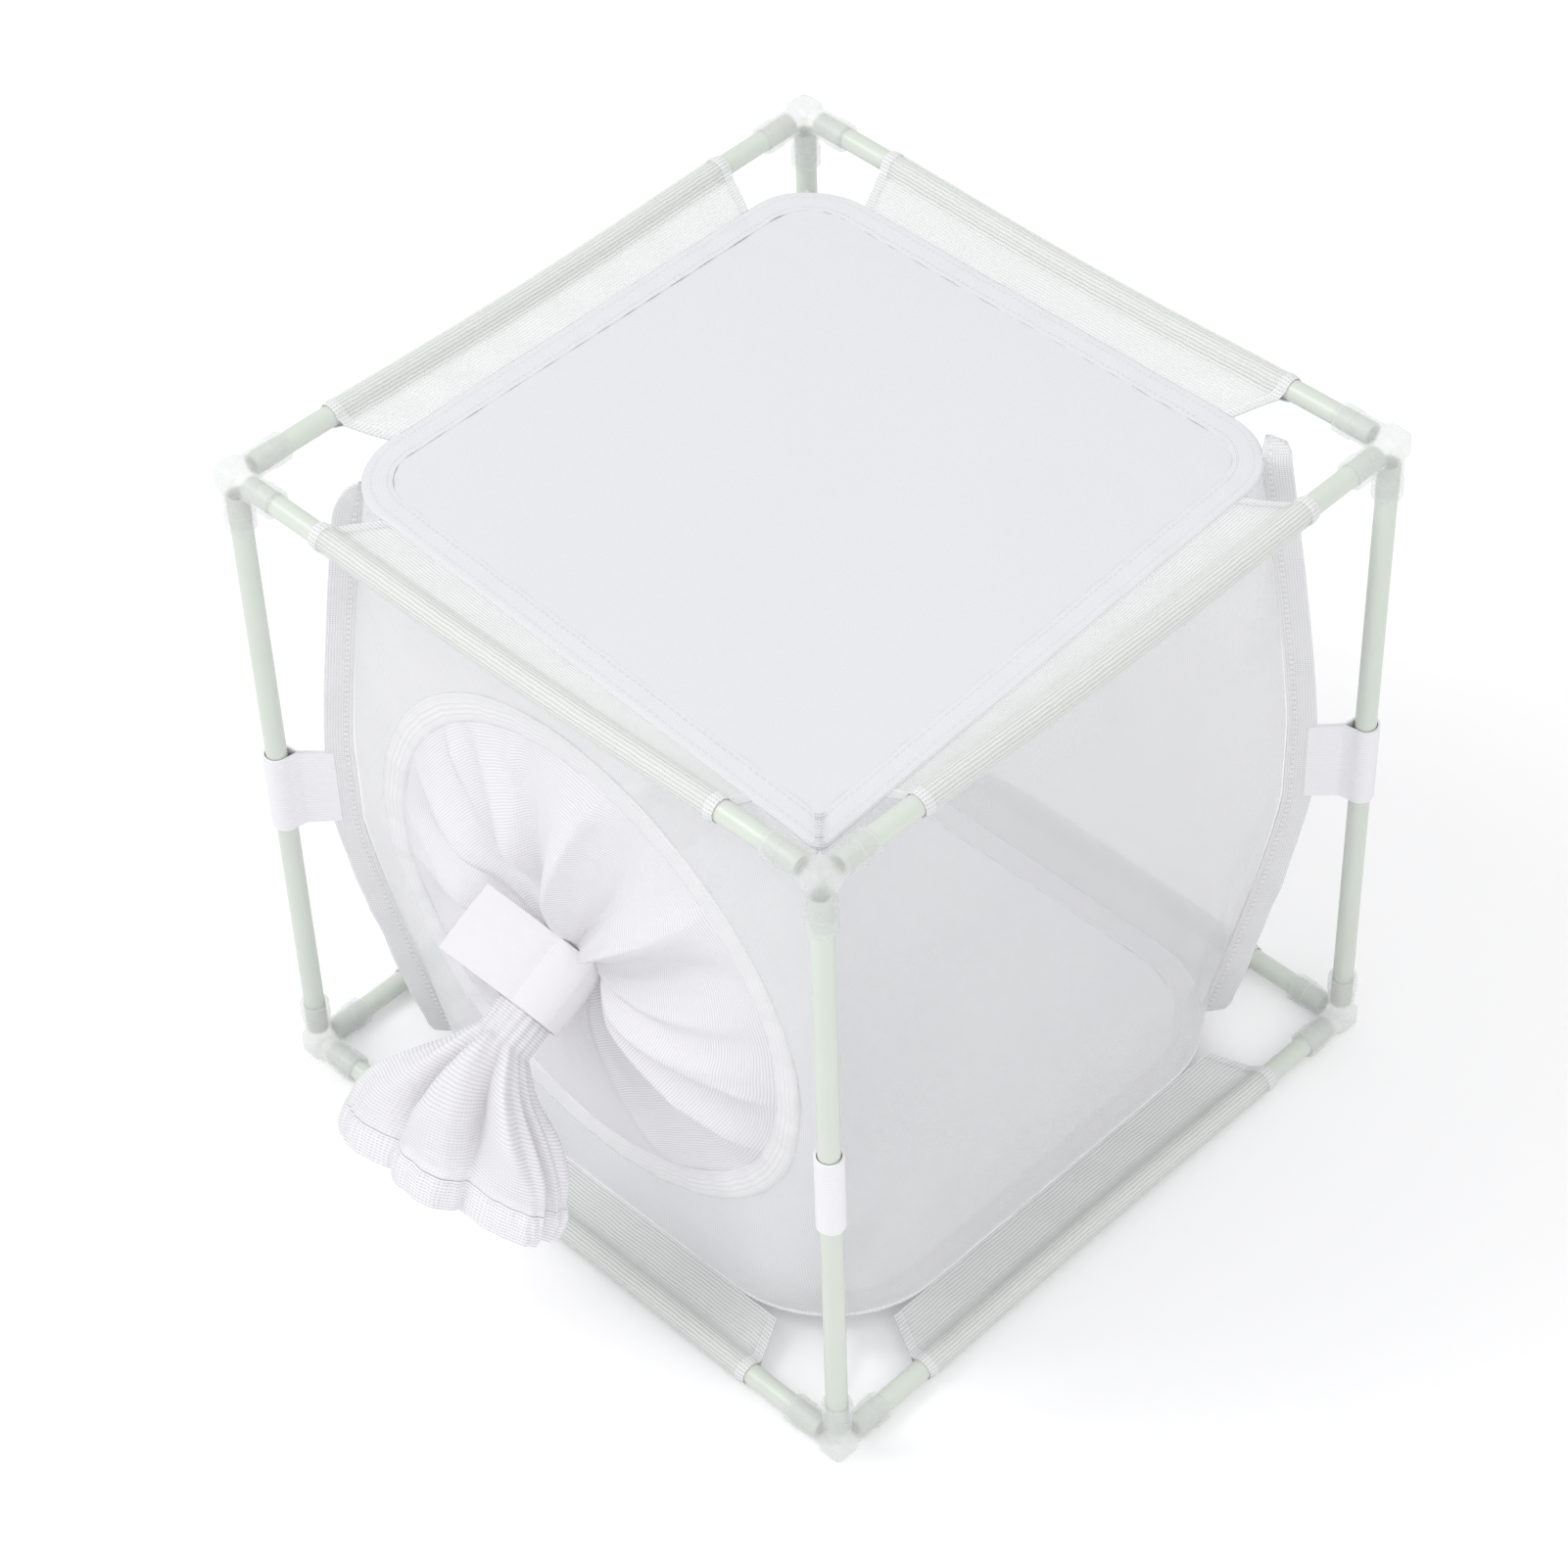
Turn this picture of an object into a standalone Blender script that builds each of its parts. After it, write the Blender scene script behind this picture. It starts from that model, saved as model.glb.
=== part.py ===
"""Mesh insect cage: a cube of plastic rods pushed into corner sockets, which holds a sewn mesh
bag by cloth pockets and webbing loops. The front wall has a round port with a gathered sleeve.

Metres, +Z up. The port faces -Y and the clear window faces +X. The origin is on the surface
that the cage stands on, under the middle of its bounding box.
"""
import math

import bmesh
import bpy
import numpy as np
from mathutils import Matrix, Vector

# Frame of rods and corner sockets
FRAME_SPAN = 0.290          # between rod axes, across the cage both ways
FRAME_HEIGHT = 0.300        # between the axes of the bottom and the top rods
ROD_DIAMETER = 0.0083
ROD_WALL = 0.0010
TOP_ROD_SAG = 0.0026        # how far the bag's pull bends a top rod down
BOTTOM_ROD_RISE = 0.0019    # and a bottom rod up
SOCKET_DEPTH = 0.0148       # how far a rod goes into its socket
SOCKET_WEB = 0.0037         # plastic between a socket's end and the sockets that cross it
SOCKET_WALL = 0.00095
COLLAR_WALL = 0.00145       # at the thick lip round a socket's mouth
COLLAR_LENGTH = 0.0074
CORNER_BEVEL = 0.0030

# Cloth bag
BAG_INSET = 0.0230          # rod axis to the bag's edge seam
SEAM_DROP = 0.0040          # rod axis to the seam's level, towards the middle of the cage
TOP_CORNER_RADIUS = 0.0300
NEAR_CORNER_RADIUS = 0.0040 # at the top's front right corner, pulled nearly to a point
NEAR_CORNER_PULL = 0.0120   # how far that corner stands out, along both axes
BOTTOM_CORNER_RADIUS = 0.0540
CREASE_RADIUS = 0.0020      # the tightest bend along the inner edge of a binding
MID_CORNER_INSET = 0.0205   # rod axis to the wall's corner where the loops pull it out
PULL_FADE = 1.2             # exponent: how the pull of the loops fades towards the seams
WALL_CLOTH = 0.0008
BAND_WIDTH = 0.0110
BAND_CLOTH = 0.0016
TAPE_WIDTH = 0.0110
TAPE_CLOTH = 0.0014
POCKET_LENGTH = 0.2000      # along the rod
POCKET_SEAM_LENGTH = 0.1820 # along the bag's seam, where the slanted ends meet it
POCKET_CLOTH = 0.0008
STRIP_CLOTH = 0.0010        # the pocket's two layers, sewn together beside the rod
LOOP_LENGTH = 0.0370        # webbing width, which is the loop's height on the post
LOOP_DROP = 0.0060          # middle of the posts to the middle of the loops
LOOP_CLOTH = 0.0010
LOOP_TAB_CLOTH = 0.0020

# Port, gathered sleeve and tie strap
PORT_DIAMETER = 0.2190      # outside of the port's binding
PORT_DROP = 0.0080          # middle of the cage to the middle of the port
PORT_BAND = 0.0120
PORT_BAND_CLOTH = 0.0018
CONE_CLOTH = 0.0008
CONE_FOLDS = 9
CONE_FOLD_DEPTH = 0.0034
CONE_BULGE = 0.0050
NECK_FORWARD = 0.0060       # bag's front to the neck's root
NECK_LIFT = 0.0060          # port's middle to the neck's root
NECK_DROOP = 28.0           # degrees below level
NECK_WIDTH = 0.0270
NECK_THICKNESS = 0.0220
NECK_TUCK = 0.0024          # how far the neck reaches back into the cone's hole
STRAP_WIDTH = 0.0290
STRAP_CLOTH = 0.0012
STRAP_MARGIN = 0.0018       # bare neck on each side of the strap
STRAP_LAP_STEP = 0.5        # degrees over which the strap's second layer ends at the tab
TAB_LENGTH = 0.0330
TAB_RISE = 12.0             # degrees that the stiff free end stands off the strap
BALL_MOUTH = 12.0           # degrees off the axis: the hole in the tail's ball
TAIL_LENGTH = 0.0500        # from where it turns against the neck to the cuff
TAIL_DROOP = 62.0           # degrees below level at the cuff
TAIL_TURN = 8.0             # degrees that the cuff is turned, its right end nearer the cage
TAIL_DRIFT = 0.0020         # how far the cuff hangs to the left of the neck
TAIL_FLARE = 1.2            # exponent: how soon the tail widens past the neck
TAIL_FOLDS = 9
TAIL_FOLD_DEPTH = 0.09      # of the sleeve's own width
TAIL_FOLD_FADE = 0.7        # exponent: how the folds fade towards the neck and the cuff
TAIL_CLOTH = 0.0010
CUFF_WIDTH = 0.0950
CUFF_THICKNESS = 0.0270
CUFF_LENGTH = 0.0120
CUFF_CLOTH = 0.0020
CUFF_EDGE = 0.0018          # over which the casing thickens at each end

GAP = 0.0003                # between pieces that touch
TURN_GAP = 0.0008           # between pieces that turn against each other

HALF_SPAN = FRAME_SPAN / 2
ROD_RADIUS = ROD_DIAMETER / 2
ROD_SIDES = 12
BORE_RADIUS = ROD_RADIUS + GAP
ARM_RADIUS = BORE_RADIUS + SOCKET_WALL
COLLAR_RADIUS = BORE_RADIUS + COLLAR_WALL
SOCKET_FLOOR = BORE_RADIUS + SOCKET_WEB         # corner centre to a socket's closed end
SOCKET_REACH = SOCKET_FLOOR + SOCKET_DEPTH      # corner centre to a socket's mouth
BOTTOM_LEVEL = COLLAR_RADIUS                    # the rods' axes stand a collar's radius up
TOP_LEVEL = BOTTOM_LEVEL + FRAME_HEIGHT
ROD_INSET = SOCKET_FLOOR + GAP                  # corner centre to a rod's end
BAG_HALF = HALF_SPAN - BAG_INSET
BAND_TOP = TOP_LEVEL - SEAM_DROP
BAND_BOTTOM = BOTTOM_LEVEL + SEAM_DROP
WALL_TOP = BAND_TOP - BAND_CLOTH / 2 - GAP
WALL_BOTTOM = BAND_BOTTOM + BAND_CLOTH / 2 + GAP
WALL_HALF = BAG_HALF - WALL_CLOTH / 2
MIDDLE = (BOTTOM_LEVEL + TOP_LEVEL) / 2
LOOP_LEVEL = MIDDLE - LOOP_DROP
PORT_LEVEL = MIDDLE - PORT_DROP
PORT_SIDES = 6 * CONE_FOLDS
STRAP_SIDES = 24                                # a multiple of four, so one is at the top
STRAP_FACET = 1 / math.cos(math.pi / STRAP_SIDES)

SIDES = ("front", "right", "back", "left")
CORNERS = ("front_right", "back_right", "back_left", "front_left")


def plastic(name, color, roughness, alpha=1.0):
    material = bpy.data.materials.new(name)
    material.use_nodes = True
    shader = material.node_tree.nodes["Principled BSDF"]
    shader.inputs["Base Color"].default_value = (*color, 1.0)
    shader.inputs["Roughness"].default_value = roughness
    shader.inputs["Metallic"].default_value = 0.0
    shader.inputs["Alpha"].default_value = alpha
    return material


def cloth(name, color, alpha=1.0):
    return plastic(name, color, 0.85, alpha)


def finished_mesh(mesh, name, material):
    """Points the faces outwards, shades the round ones smooth and returns the mesh."""
    bmesh.ops.recalc_face_normals(mesh, faces=mesh.faces)
    data = bpy.data.meshes.new(name)
    mesh.to_mesh(data)
    mesh.free()
    data.materials.append(material)
    data.shade_smooth()
    data.set_sharp_from_angle(angle=math.radians(40))
    return data


def sheet_mesh(name, material, front, back, wrap):
    """A wall between two grids of points, closed round its edges.

    front and back are lists of rows, with as many points in each row. With wrap, each row is
    a loop, as round a tube.
    """
    mesh = bmesh.new()
    fronts = [[mesh.verts.new(point) for point in row] for row in front]
    backs = [[mesh.verts.new(point) for point in row] for row in back]
    columns = len(front[0])
    steps = columns if wrap else columns - 1
    for row in range(len(front) - 1):
        for column in range(steps):
            right = (column + 1) % columns
            for grid in (fronts, backs):
                mesh.faces.new((grid[row][column], grid[row][right],
                                grid[row + 1][right], grid[row + 1][column]))
    for row in (0, -1):
        for column in range(steps):
            right = (column + 1) % columns
            mesh.faces.new((fronts[row][column], fronts[row][right],
                            backs[row][right], backs[row][column]))
    if not wrap:
        for column in (0, -1):
            for row in range(len(front) - 1):
                mesh.faces.new((fronts[row][column], fronts[row + 1][column],
                                backs[row + 1][column], backs[row][column]))
    return finished_mesh(mesh, name, material)


def solid_mesh(name, material, rings):
    """A solid through rings of points, with a flat face at each end."""
    mesh = bmesh.new()
    loops = [[mesh.verts.new(point) for point in ring] for ring in rings]
    count = len(rings[0])
    for low, high in zip(loops, loops[1:]):
        for index in range(count):
            after = (index + 1) % count
            mesh.faces.new((low[index], low[after], high[after], high[index]))
    mesh.faces.new(loops[0])
    mesh.faces.new(loops[-1])
    return finished_mesh(mesh, name, material)


def circle(radius, sides, start=0.0):
    """Points round a circle, as pairs, from an angle in radians."""
    step = math.tau / sides
    return [(radius * math.cos(start + step * k), radius * math.sin(start + step * k))
            for k in range(sides)]


def add(name, data, matrix=None, pivot=None):
    """Places a mesh as an object. A pivot empty at the joint axis takes a moving piece."""
    piece = bpy.data.objects.new(name, data)
    bpy.context.scene.collection.objects.link(piece)
    piece.parent = pivot or cage
    if pivot:
        data.transform(Matrix.Translation(-PIVOTS[pivot.name]))
    if matrix is not None:
        piece.matrix_local = matrix
    return piece


def quarter_turn(index):
    return Matrix.Rotation(index * math.pi / 2, 4, "Z")


# Rods: a pale green tube, bent a little by the bag between its two sockets
def bow(position, depth):
    """How far a rod has bent at a place along it, as a beam with both ends held does."""
    free = FRAME_SPAN - 2 * SOCKET_REACH
    share = (position + free / 2) / free
    if share <= 0.0 or share >= 1.0:
        return 0.0
    return 16 * depth * share ** 2 * (1 - share) ** 2


def rod_stations():
    end = HALF_SPAN - ROD_INSET
    free = HALF_SPAN - SOCKET_REACH
    inner = [free * share for share in (-1, -0.65, -0.22, 0.22, 0.65, 1)]
    return [-end, *inner, end]


def rod_bend(x, depth):
    """How far the modelled rod, straight between its stations, has bent at x."""
    stations = rod_stations()
    return float(np.interp(x, stations, [bow(station, depth) for station in stations]))


def side_rod_mesh(name, level, depth):
    """The front rod; the other three of its level are the same one turned about the cage."""
    walls = []
    for radius in (ROD_RADIUS, ROD_RADIUS - ROD_WALL):
        walls.append([[(x, -HALF_SPAN + a, level + rod_bend(x, depth) + b)
                       for a, b in circle(radius, ROD_SIDES)] for x in rod_stations()])
    return sheet_mesh(name, ROD_PLASTIC, walls[0], walls[1], True)


def post_mesh():
    ends = (BOTTOM_LEVEL + ROD_INSET, TOP_LEVEL - ROD_INSET)
    walls = []
    for radius in (ROD_RADIUS, ROD_RADIUS - ROD_WALL):
        walls.append([[(HALF_SPAN + a, -HALF_SPAN + b, z)
                       for a, b in circle(radius, ROD_SIDES)] for z in ends])
    return sheet_mesh("post", ROD_PLASTIC, walls[0], walls[1], True)


# Corner sockets: three blind sockets at right angles on a rounded block
def apply_boolean(piece, other, operation):
    modifier = piece.modifiers.new(operation, "BOOLEAN")
    modifier.operation = operation
    modifier.solver = "EXACT"
    modifier.object = other
    graph = bpy.context.evaluated_depsgraph_get()
    data = bpy.data.meshes.new_from_object(piece.evaluated_get(graph))
    piece.modifiers.clear()
    piece.data = data
    bpy.data.objects.remove(other)


def turned(profile, turn):
    """A twelve-sided solid of revolution along +X, from (distance, radius) pairs."""
    across_flats = 1 / math.cos(math.pi / ROD_SIDES)
    rings = []
    for distance, radius in profile:
        points = circle(radius * across_flats, ROD_SIDES, math.pi / ROD_SIDES)
        rings.append([turn @ Vector((distance, a, b)) for a, b in points])
    piece = bpy.data.objects.new("turned", solid_mesh("turned", SOCKET_PLASTIC, rings))
    bpy.context.scene.collection.objects.link(piece)
    return piece


def socket_mesh():
    """The bottom front right corner about its own centre: arms along -X, +Y and +Z."""
    block = bmesh.new()
    bmesh.ops.create_cube(block, size=2 * COLLAR_RADIUS)
    bmesh.ops.bevel(block, geom=block.edges[:], offset=CORNER_BEVEL, segments=2, profile=0.5,
                    affect="EDGES")
    piece = bpy.data.objects.new("socket", finished_mesh(block, "socket", SOCKET_PLASTIC))
    bpy.context.scene.collection.objects.link(piece)
    chamfer = COLLAR_RADIUS - ARM_RADIUS
    collar_start = SOCKET_REACH - COLLAR_LENGTH
    arm = [(0.0, ARM_RADIUS), (collar_start, ARM_RADIUS),
           (collar_start + chamfer, COLLAR_RADIUS), (SOCKET_REACH - chamfer, COLLAR_RADIUS),
           (SOCKET_REACH, ARM_RADIUS)]
    bore = [(SOCKET_FLOOR, BORE_RADIUS), (SOCKET_REACH + ROD_DIAMETER, BORE_RADIUS)]
    turns = (Matrix.Rotation(math.pi, 3, "Z"), Matrix.Rotation(math.pi / 2, 3, "Z"),
             Matrix.Rotation(-math.pi / 2, 3, "Y"))
    for turn in turns:
        apply_boolean(piece, turned(arm, turn), "UNION")
    for turn in turns:
        apply_boolean(piece, turned(bore, turn), "DIFFERENCE")
    data = piece.data
    bpy.data.objects.remove(piece)
    data.set_sharp_from_angle(angle=math.radians(35))
    return data


# Pockets and post loops: cloth wrapped round a rod, with a flat strip to the bag's seam
def keyhole(centre, tip, cloth_thickness, strip):
    """The section of cloth round a rod and out to a tip, as an outer and an inner loop."""
    arcs = ROD_SIDES - 1
    inner_radius = BORE_RADIUS / math.cos(math.pi / arcs)
    outer_radius = inner_radius + cloth_thickness
    heading = math.atan2(tip[1] - centre[1], tip[0] - centre[0])
    mouth = math.asin(strip / 2 / outer_radius)
    step = (math.tau - 2 * mouth) / arcs
    angles = [heading + mouth + step * k for k in range(ROD_SIDES)]
    side = (-math.sin(heading) * strip / 2, math.cos(heading) * strip / 2)
    outer = [(centre[0] + outer_radius * math.cos(a), centre[1] + outer_radius * math.sin(a))
             for a in angles]
    outer += [(tip[0] - side[0], tip[1] - side[1]), (tip[0] + side[0], tip[1] + side[1])]
    angles += [heading - mouth / 3, heading + mouth / 3]
    inner = [(centre[0] + inner_radius * math.cos(a), centre[1] + inner_radius * math.sin(a))
             for a in angles]
    return outer, inner


def pocket_mesh(name, level, depth, seam_level, near=0):
    """The front pocket, which follows its bent rod on one side and the straight seam.

    Its ends slant, because it is shorter along the seam than along the rod. near is its end
    towards the pulled-out top corner, 1 or -1, or 0 for none.
    """
    end = POCKET_LENGTH / 2
    stations = [-end, *(x for x in rod_stations() if abs(x) < end), end]
    outer, inner = [], []
    for x in stations:
        seam_x = x * POCKET_SEAM_LENGTH / POCKET_LENGTH
        seam_x, seam_y = drawn_out((seam_x, -BAG_HALF - GAP), near)
        centre = (-HALF_SPAN, level + rod_bend(x, depth))
        loops = keyhole(centre, (seam_y, seam_level), POCKET_CLOTH, STRIP_CLOTH)
        round_rod = [(x, y, z) for y, z in loops[0][:ROD_SIDES]]
        outer.append(round_rod + [(seam_x, y, z) for y, z in loops[0][ROD_SIDES:]])
        inner.append([(x, y, z) for y, z in loops[1]])
    return sheet_mesh(name, POCKET_MESH, outer, inner, True)


def post_loop_mesh():
    """The loop on the front right post, out to the tape that it is sewn to."""
    corner = tape_edge(LOOP_LEVEL) + GAP / math.sqrt(2)
    outer, inner = keyhole((HALF_SPAN, -HALF_SPAN), (corner, -corner), LOOP_CLOTH,
                           LOOP_TAB_CLOTH)
    levels = (LOOP_LEVEL - LOOP_LENGTH / 2, LOOP_LEVEL + LOOP_LENGTH / 2)
    return sheet_mesh("post_loop", WEBBING, [[(*point, z) for point in outer] for z in levels],
                      [[(*point, z) for point in inner] for z in levels], True)


# Bag: four walls, a top and a floor, edge bands and taped corner seams
def pull(z):
    """How far the loops pull the corner out at a level: 1 at the loops, 0 at the seams."""
    away = abs(z - LOOP_LEVEL) - LOOP_LENGTH / 2
    if away <= 0:
        return 1.0
    room = (WALL_TOP - LOOP_LEVEL if z > LOOP_LEVEL else LOOP_LEVEL - WALL_BOTTOM)
    return max(0.0, 1.0 - (away / (room - LOOP_LENGTH / 2)) ** PULL_FADE)


def rounded(share, half, radius):
    """A point of a rounded square's front edge; share runs from -1 to 1, corner to corner."""
    straight = half - radius
    along = abs(share) * (straight + radius * math.pi / 4)
    if along <= straight:
        x, y = along, -half
    else:
        turn = (along - straight) / radius
        x = straight + radius * math.sin(turn)
        y = -(half - radius * (1 - math.cos(turn)))
    return Vector((math.copysign(x, share), y))


def drawn_out(point, near):
    """A point of a side of the top's outline, moved as the pulled-out corner draws it.

    near is the side's end at that corner, 1 or -1, or 0 for none. The side stays straight,
    and its other corner stays where it is.
    """
    start = TOP_CORNER_RADIUS - BAG_HALF
    share = (point[0] * near - start) / (BAG_HALF - NEAR_CORNER_RADIUS - start)
    shift = abs(near) * NEAR_CORNER_PULL * min(1.0, max(0.0, share))
    return Vector((point[0] + near * shift, point[1] - shift))


def wall_plan(share, z, near=0):
    """A wall's middle surface, in plan, at a level, as seen from the wall's own front.

    near is the end of the wall, 1 or -1, that meets the pulled-out top corner, or 0 for none.
    """
    radius = TOP_CORNER_RADIUS if z > LOOP_LEVEL else BOTTOM_CORNER_RADIUS
    if z > LOOP_LEVEL and share * near > 0:
        radius = NEAR_CORNER_RADIUS
    slack = rounded(share, WALL_HALF, radius)
    if z > LOOP_LEVEL:
        slack = drawn_out(slack, near)
    corner = HALF_SPAN - MID_CORNER_INSET
    taut = Vector((share * corner, -(WALL_HALF + (corner - WALL_HALF) * share ** 2)))
    return slack.lerp(taut, pull(z))


def wall_corner(z, near=0):
    return wall_plan(1.0, z, near).x


def tape_edge(z):
    """The tape's outer edge, as a distance along both axes."""
    return wall_corner(z) + TAPE_WIDTH / math.sqrt(2)


def bisect(low, high, is_low):
    for _ in range(40):
        middle = (low + high) / 2
        if is_low(middle):
            low = middle
        else:
            high = middle
    return low


def wall_end(z, near=0):
    """The share at which a wall's right end stops short of the corner tape, clear of it."""
    room = TAPE_CLOTH / 2 + GAP + WALL_CLOTH / 2

    def clear(share):
        point = wall_plan(share, z, near)
        return (-point.y - point.x) / math.sqrt(2) > room
    return bisect(0.5, 1.0, clear)


def wall_depth(x, z):
    """The front wall's Y at a place on it. Its right end meets the pulled-out corner."""
    share = bisect(-1.0, 1.0, lambda s: wall_plan(s, z, 1).x < x)
    return wall_plan(share, z, 1).y


def wall_levels():
    low, high = LOOP_LEVEL - LOOP_LENGTH / 2, LOOP_LEVEL + LOOP_LENGTH / 2
    below = [WALL_BOTTOM + (low - WALL_BOTTOM) * share for share in (0, 0.2, 0.5, 0.8)]
    above = [high + (WALL_TOP - high) * share for share in (0.2, 0.5, 0.8, 1)]
    return [*below, low, high, *above]


def plain_wall_mesh(name, material, near=0):
    front, back = [], []
    for z in wall_levels():
        left_end, right_end = wall_end(z, max(-near, 0)), wall_end(z, max(near, 0))
        outer, inner = [], []
        for share in (-1, -0.93, -0.86, -0.78, -0.4, 0.4, 0.78, 0.86, 0.93, 1):
            here = share * (right_end if share > 0 else left_end)
            point = wall_plan(here, z, near)
            along = (wall_plan(here + 0.004, z, near)
                     - wall_plan(here - 0.004, z, near)).normalized()
            offset = Vector((along.y, -along.x)) * WALL_CLOTH / 2
            outer.append((*(point + offset), z))
            inner.append((*(point - offset), z))
        front.append(outer)
        back.append(inner)
    return sheet_mesh(name, material, front, back, False)


def wall_outline():
    """Points of the port wall's outline on rays from the port's middle, corners included."""
    def reach_at(z, near):
        return wall_plan(wall_end(z, near), z, near).x

    def inside(x, z):
        if not WALL_BOTTOM <= z <= WALL_TOP:
            return False
        return abs(x) <= reach_at(z, 1 if x > 0 else 0)

    points = []
    for a, b in circle(1.0, PORT_SIDES):
        reach = bisect(PORT_DIAMETER / 2, FRAME_HEIGHT,
                       lambda r: inside(a * r, PORT_LEVEL + b * r))
        points.append([a * reach, PORT_LEVEL + b * reach])
    for z in (WALL_BOTTOM, WALL_TOP):
        for x in (-reach_at(z, 0), reach_at(z, 1)):
            nearest = min(points, key=lambda p: (p[0] - x) ** 2 + (p[1] - z) ** 2)
            nearest[0], nearest[1] = x, z
    return points


def port_wall_mesh():
    hole = PORT_DIAMETER / 2 + GAP
    rim = [(a, PORT_LEVEL + b) for a, b in circle(hole, PORT_SIDES)]
    edge = wall_outline()
    front, back = [], []
    for share in (0.0, 0.4, 0.75, 1.0):
        row = [(p[0] + (q[0] - p[0]) * share, p[1] + (q[1] - p[1]) * share)
               for p, q in zip(rim, edge)]
        depths = [wall_depth(x, z) for x, z in row]
        front.append([(x, y - WALL_CLOTH / 2, z) for (x, z), y in zip(row, depths)])
        back.append([(x, y + WALL_CLOTH / 2, z) for (x, z), y in zip(row, depths)])
    return sheet_mesh("front_wall", FINE_MESH, front, back, True)


def tape_mesh(near=0):
    """The folded tape that binds the front right corner's seam and stands out from it.

    With near it is the one at the pulled-out corner, cut narrower where it would meet the
    corner socket.
    """
    out = Vector((1, -1)) / math.sqrt(2)
    side = Vector((1, 1)) / math.sqrt(2) * TAPE_CLOTH / 2
    rings = []
    for z in wall_levels():
        corner = wall_corner(z, near)
        room = (HALF_SPAN - COLLAR_RADIUS - TURN_GAP - corner) * math.sqrt(2)
        inner = Vector((corner, -corner)) - out * WALL_CLOTH / 2
        far = inner + out * (min(TAPE_WIDTH, room) if near else TAPE_WIDTH)
        rings.append([(*point, z) for point in
                      (inner - side, far - side, far + side, inner + side)])
    return solid_mesh("corner_tape", TAPE_FABRIC, rings)


def square_outline(half, radii, pulled):
    """A rounded square in plan, from a radius for each corner, in the order of CORNERS.

    It has a point at each end of a straight side and three in each arc. With pulled, its
    front right corner is the pulled-out one.
    """
    points = []
    for quarter in range(4):
        turn = quarter_turn(quarter).to_2x2()
        near = (1, -1, 0, 0)[quarter] if pulled else 0
        for side, radius in ((-1, radii[quarter - 1]), (1, radii[quarter])):
            straight = (half - radius) / (half - radius + radius * math.pi / 4)
            shares = [straight, (1 + straight) / 2]
            shares = shares + [1.0] if side > 0 else [-share for share in reversed(shares)]
            points += [turn @ drawn_out(rounded(share, half, radius), near)
                       for share in shares]
    return points


def inset_radii(radii, inset):
    """The corners' radii along a line that runs inside another, by an inset."""
    return [max(radius - inset, CREASE_RADIUS) for radius in radii]


def band_mesh(name, level, radii, pulled=False):
    """The flat binding round the edge of the top or the floor."""
    outer = square_outline(BAG_HALF, radii, pulled)
    inner = square_outline(BAG_HALF - BAND_WIDTH, inset_radii(radii, BAND_WIDTH), pulled)
    faces = []
    for z in (level + BAND_CLOTH / 2, level - BAND_CLOTH / 2):
        faces.append([[(*point, z) for point in outer], [(*point, z) for point in inner]])
    return sheet_mesh(name, TAPE_FABRIC, faces[0], faces[1], True)


def end_panel_mesh(name, level, radii, pulled=False):
    inset = BAND_WIDTH + GAP
    outline = square_outline(BAG_HALF - inset, inset_radii(radii, inset), pulled)
    levels = (level - WALL_CLOTH / 2, level + WALL_CLOTH / 2)
    return solid_mesh(name, TOP_FABRIC, [[(*point, z) for point in outline] for z in levels])


# Port: a bound ring in the front wall, with the sleeve gathered to a tied neck before it
def port_ring_mesh():
    front, back = [], []
    for radius in (PORT_DIAMETER / 2, PORT_DIAMETER / 2 - PORT_BAND):
        row = [(a, PORT_LEVEL + b) for a, b in circle(radius, PORT_SIDES)]
        depths = [wall_depth(x, z) for x, z in row]
        front.append([(x, y - PORT_BAND_CLOTH / 2, z) for (x, z), y in zip(row, depths)])
        back.append([(x, y + PORT_BAND_CLOTH / 2, z) for (x, z), y in zip(row, depths)])
    return sheet_mesh("port_ring", TAPE_FABRIC, front, back, True)


ACROSS = Vector((1, 0, 0))
NECK_ROOT = Vector((0, -WALL_HALF - NECK_FORWARD, PORT_LEVEL + NECK_LIFT))


def drooping(degrees):
    """The sleeve's direction outwards at a droop, and the one square to it, upwards."""
    angle = math.radians(degrees)
    out = Vector((0, -math.cos(angle), -math.sin(angle)))
    return out, Vector((0, -math.sin(angle), math.cos(angle)))


NECK_OUT, NECK_UP = drooping(NECK_DROOP)
NECK_LENGTH = STRAP_WIDTH + 2 * STRAP_MARGIN
STRAP_SPAN = (STRAP_MARGIN, STRAP_MARGIN + STRAP_WIDTH)


def neck_ring(distance, width, thickness, sides):
    centre = NECK_ROOT + NECK_OUT * distance
    return [centre + ACROSS * (a * width / 2) + NECK_UP * (b * thickness / 2)
            for a, b in circle(1.0, sides)]


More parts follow.
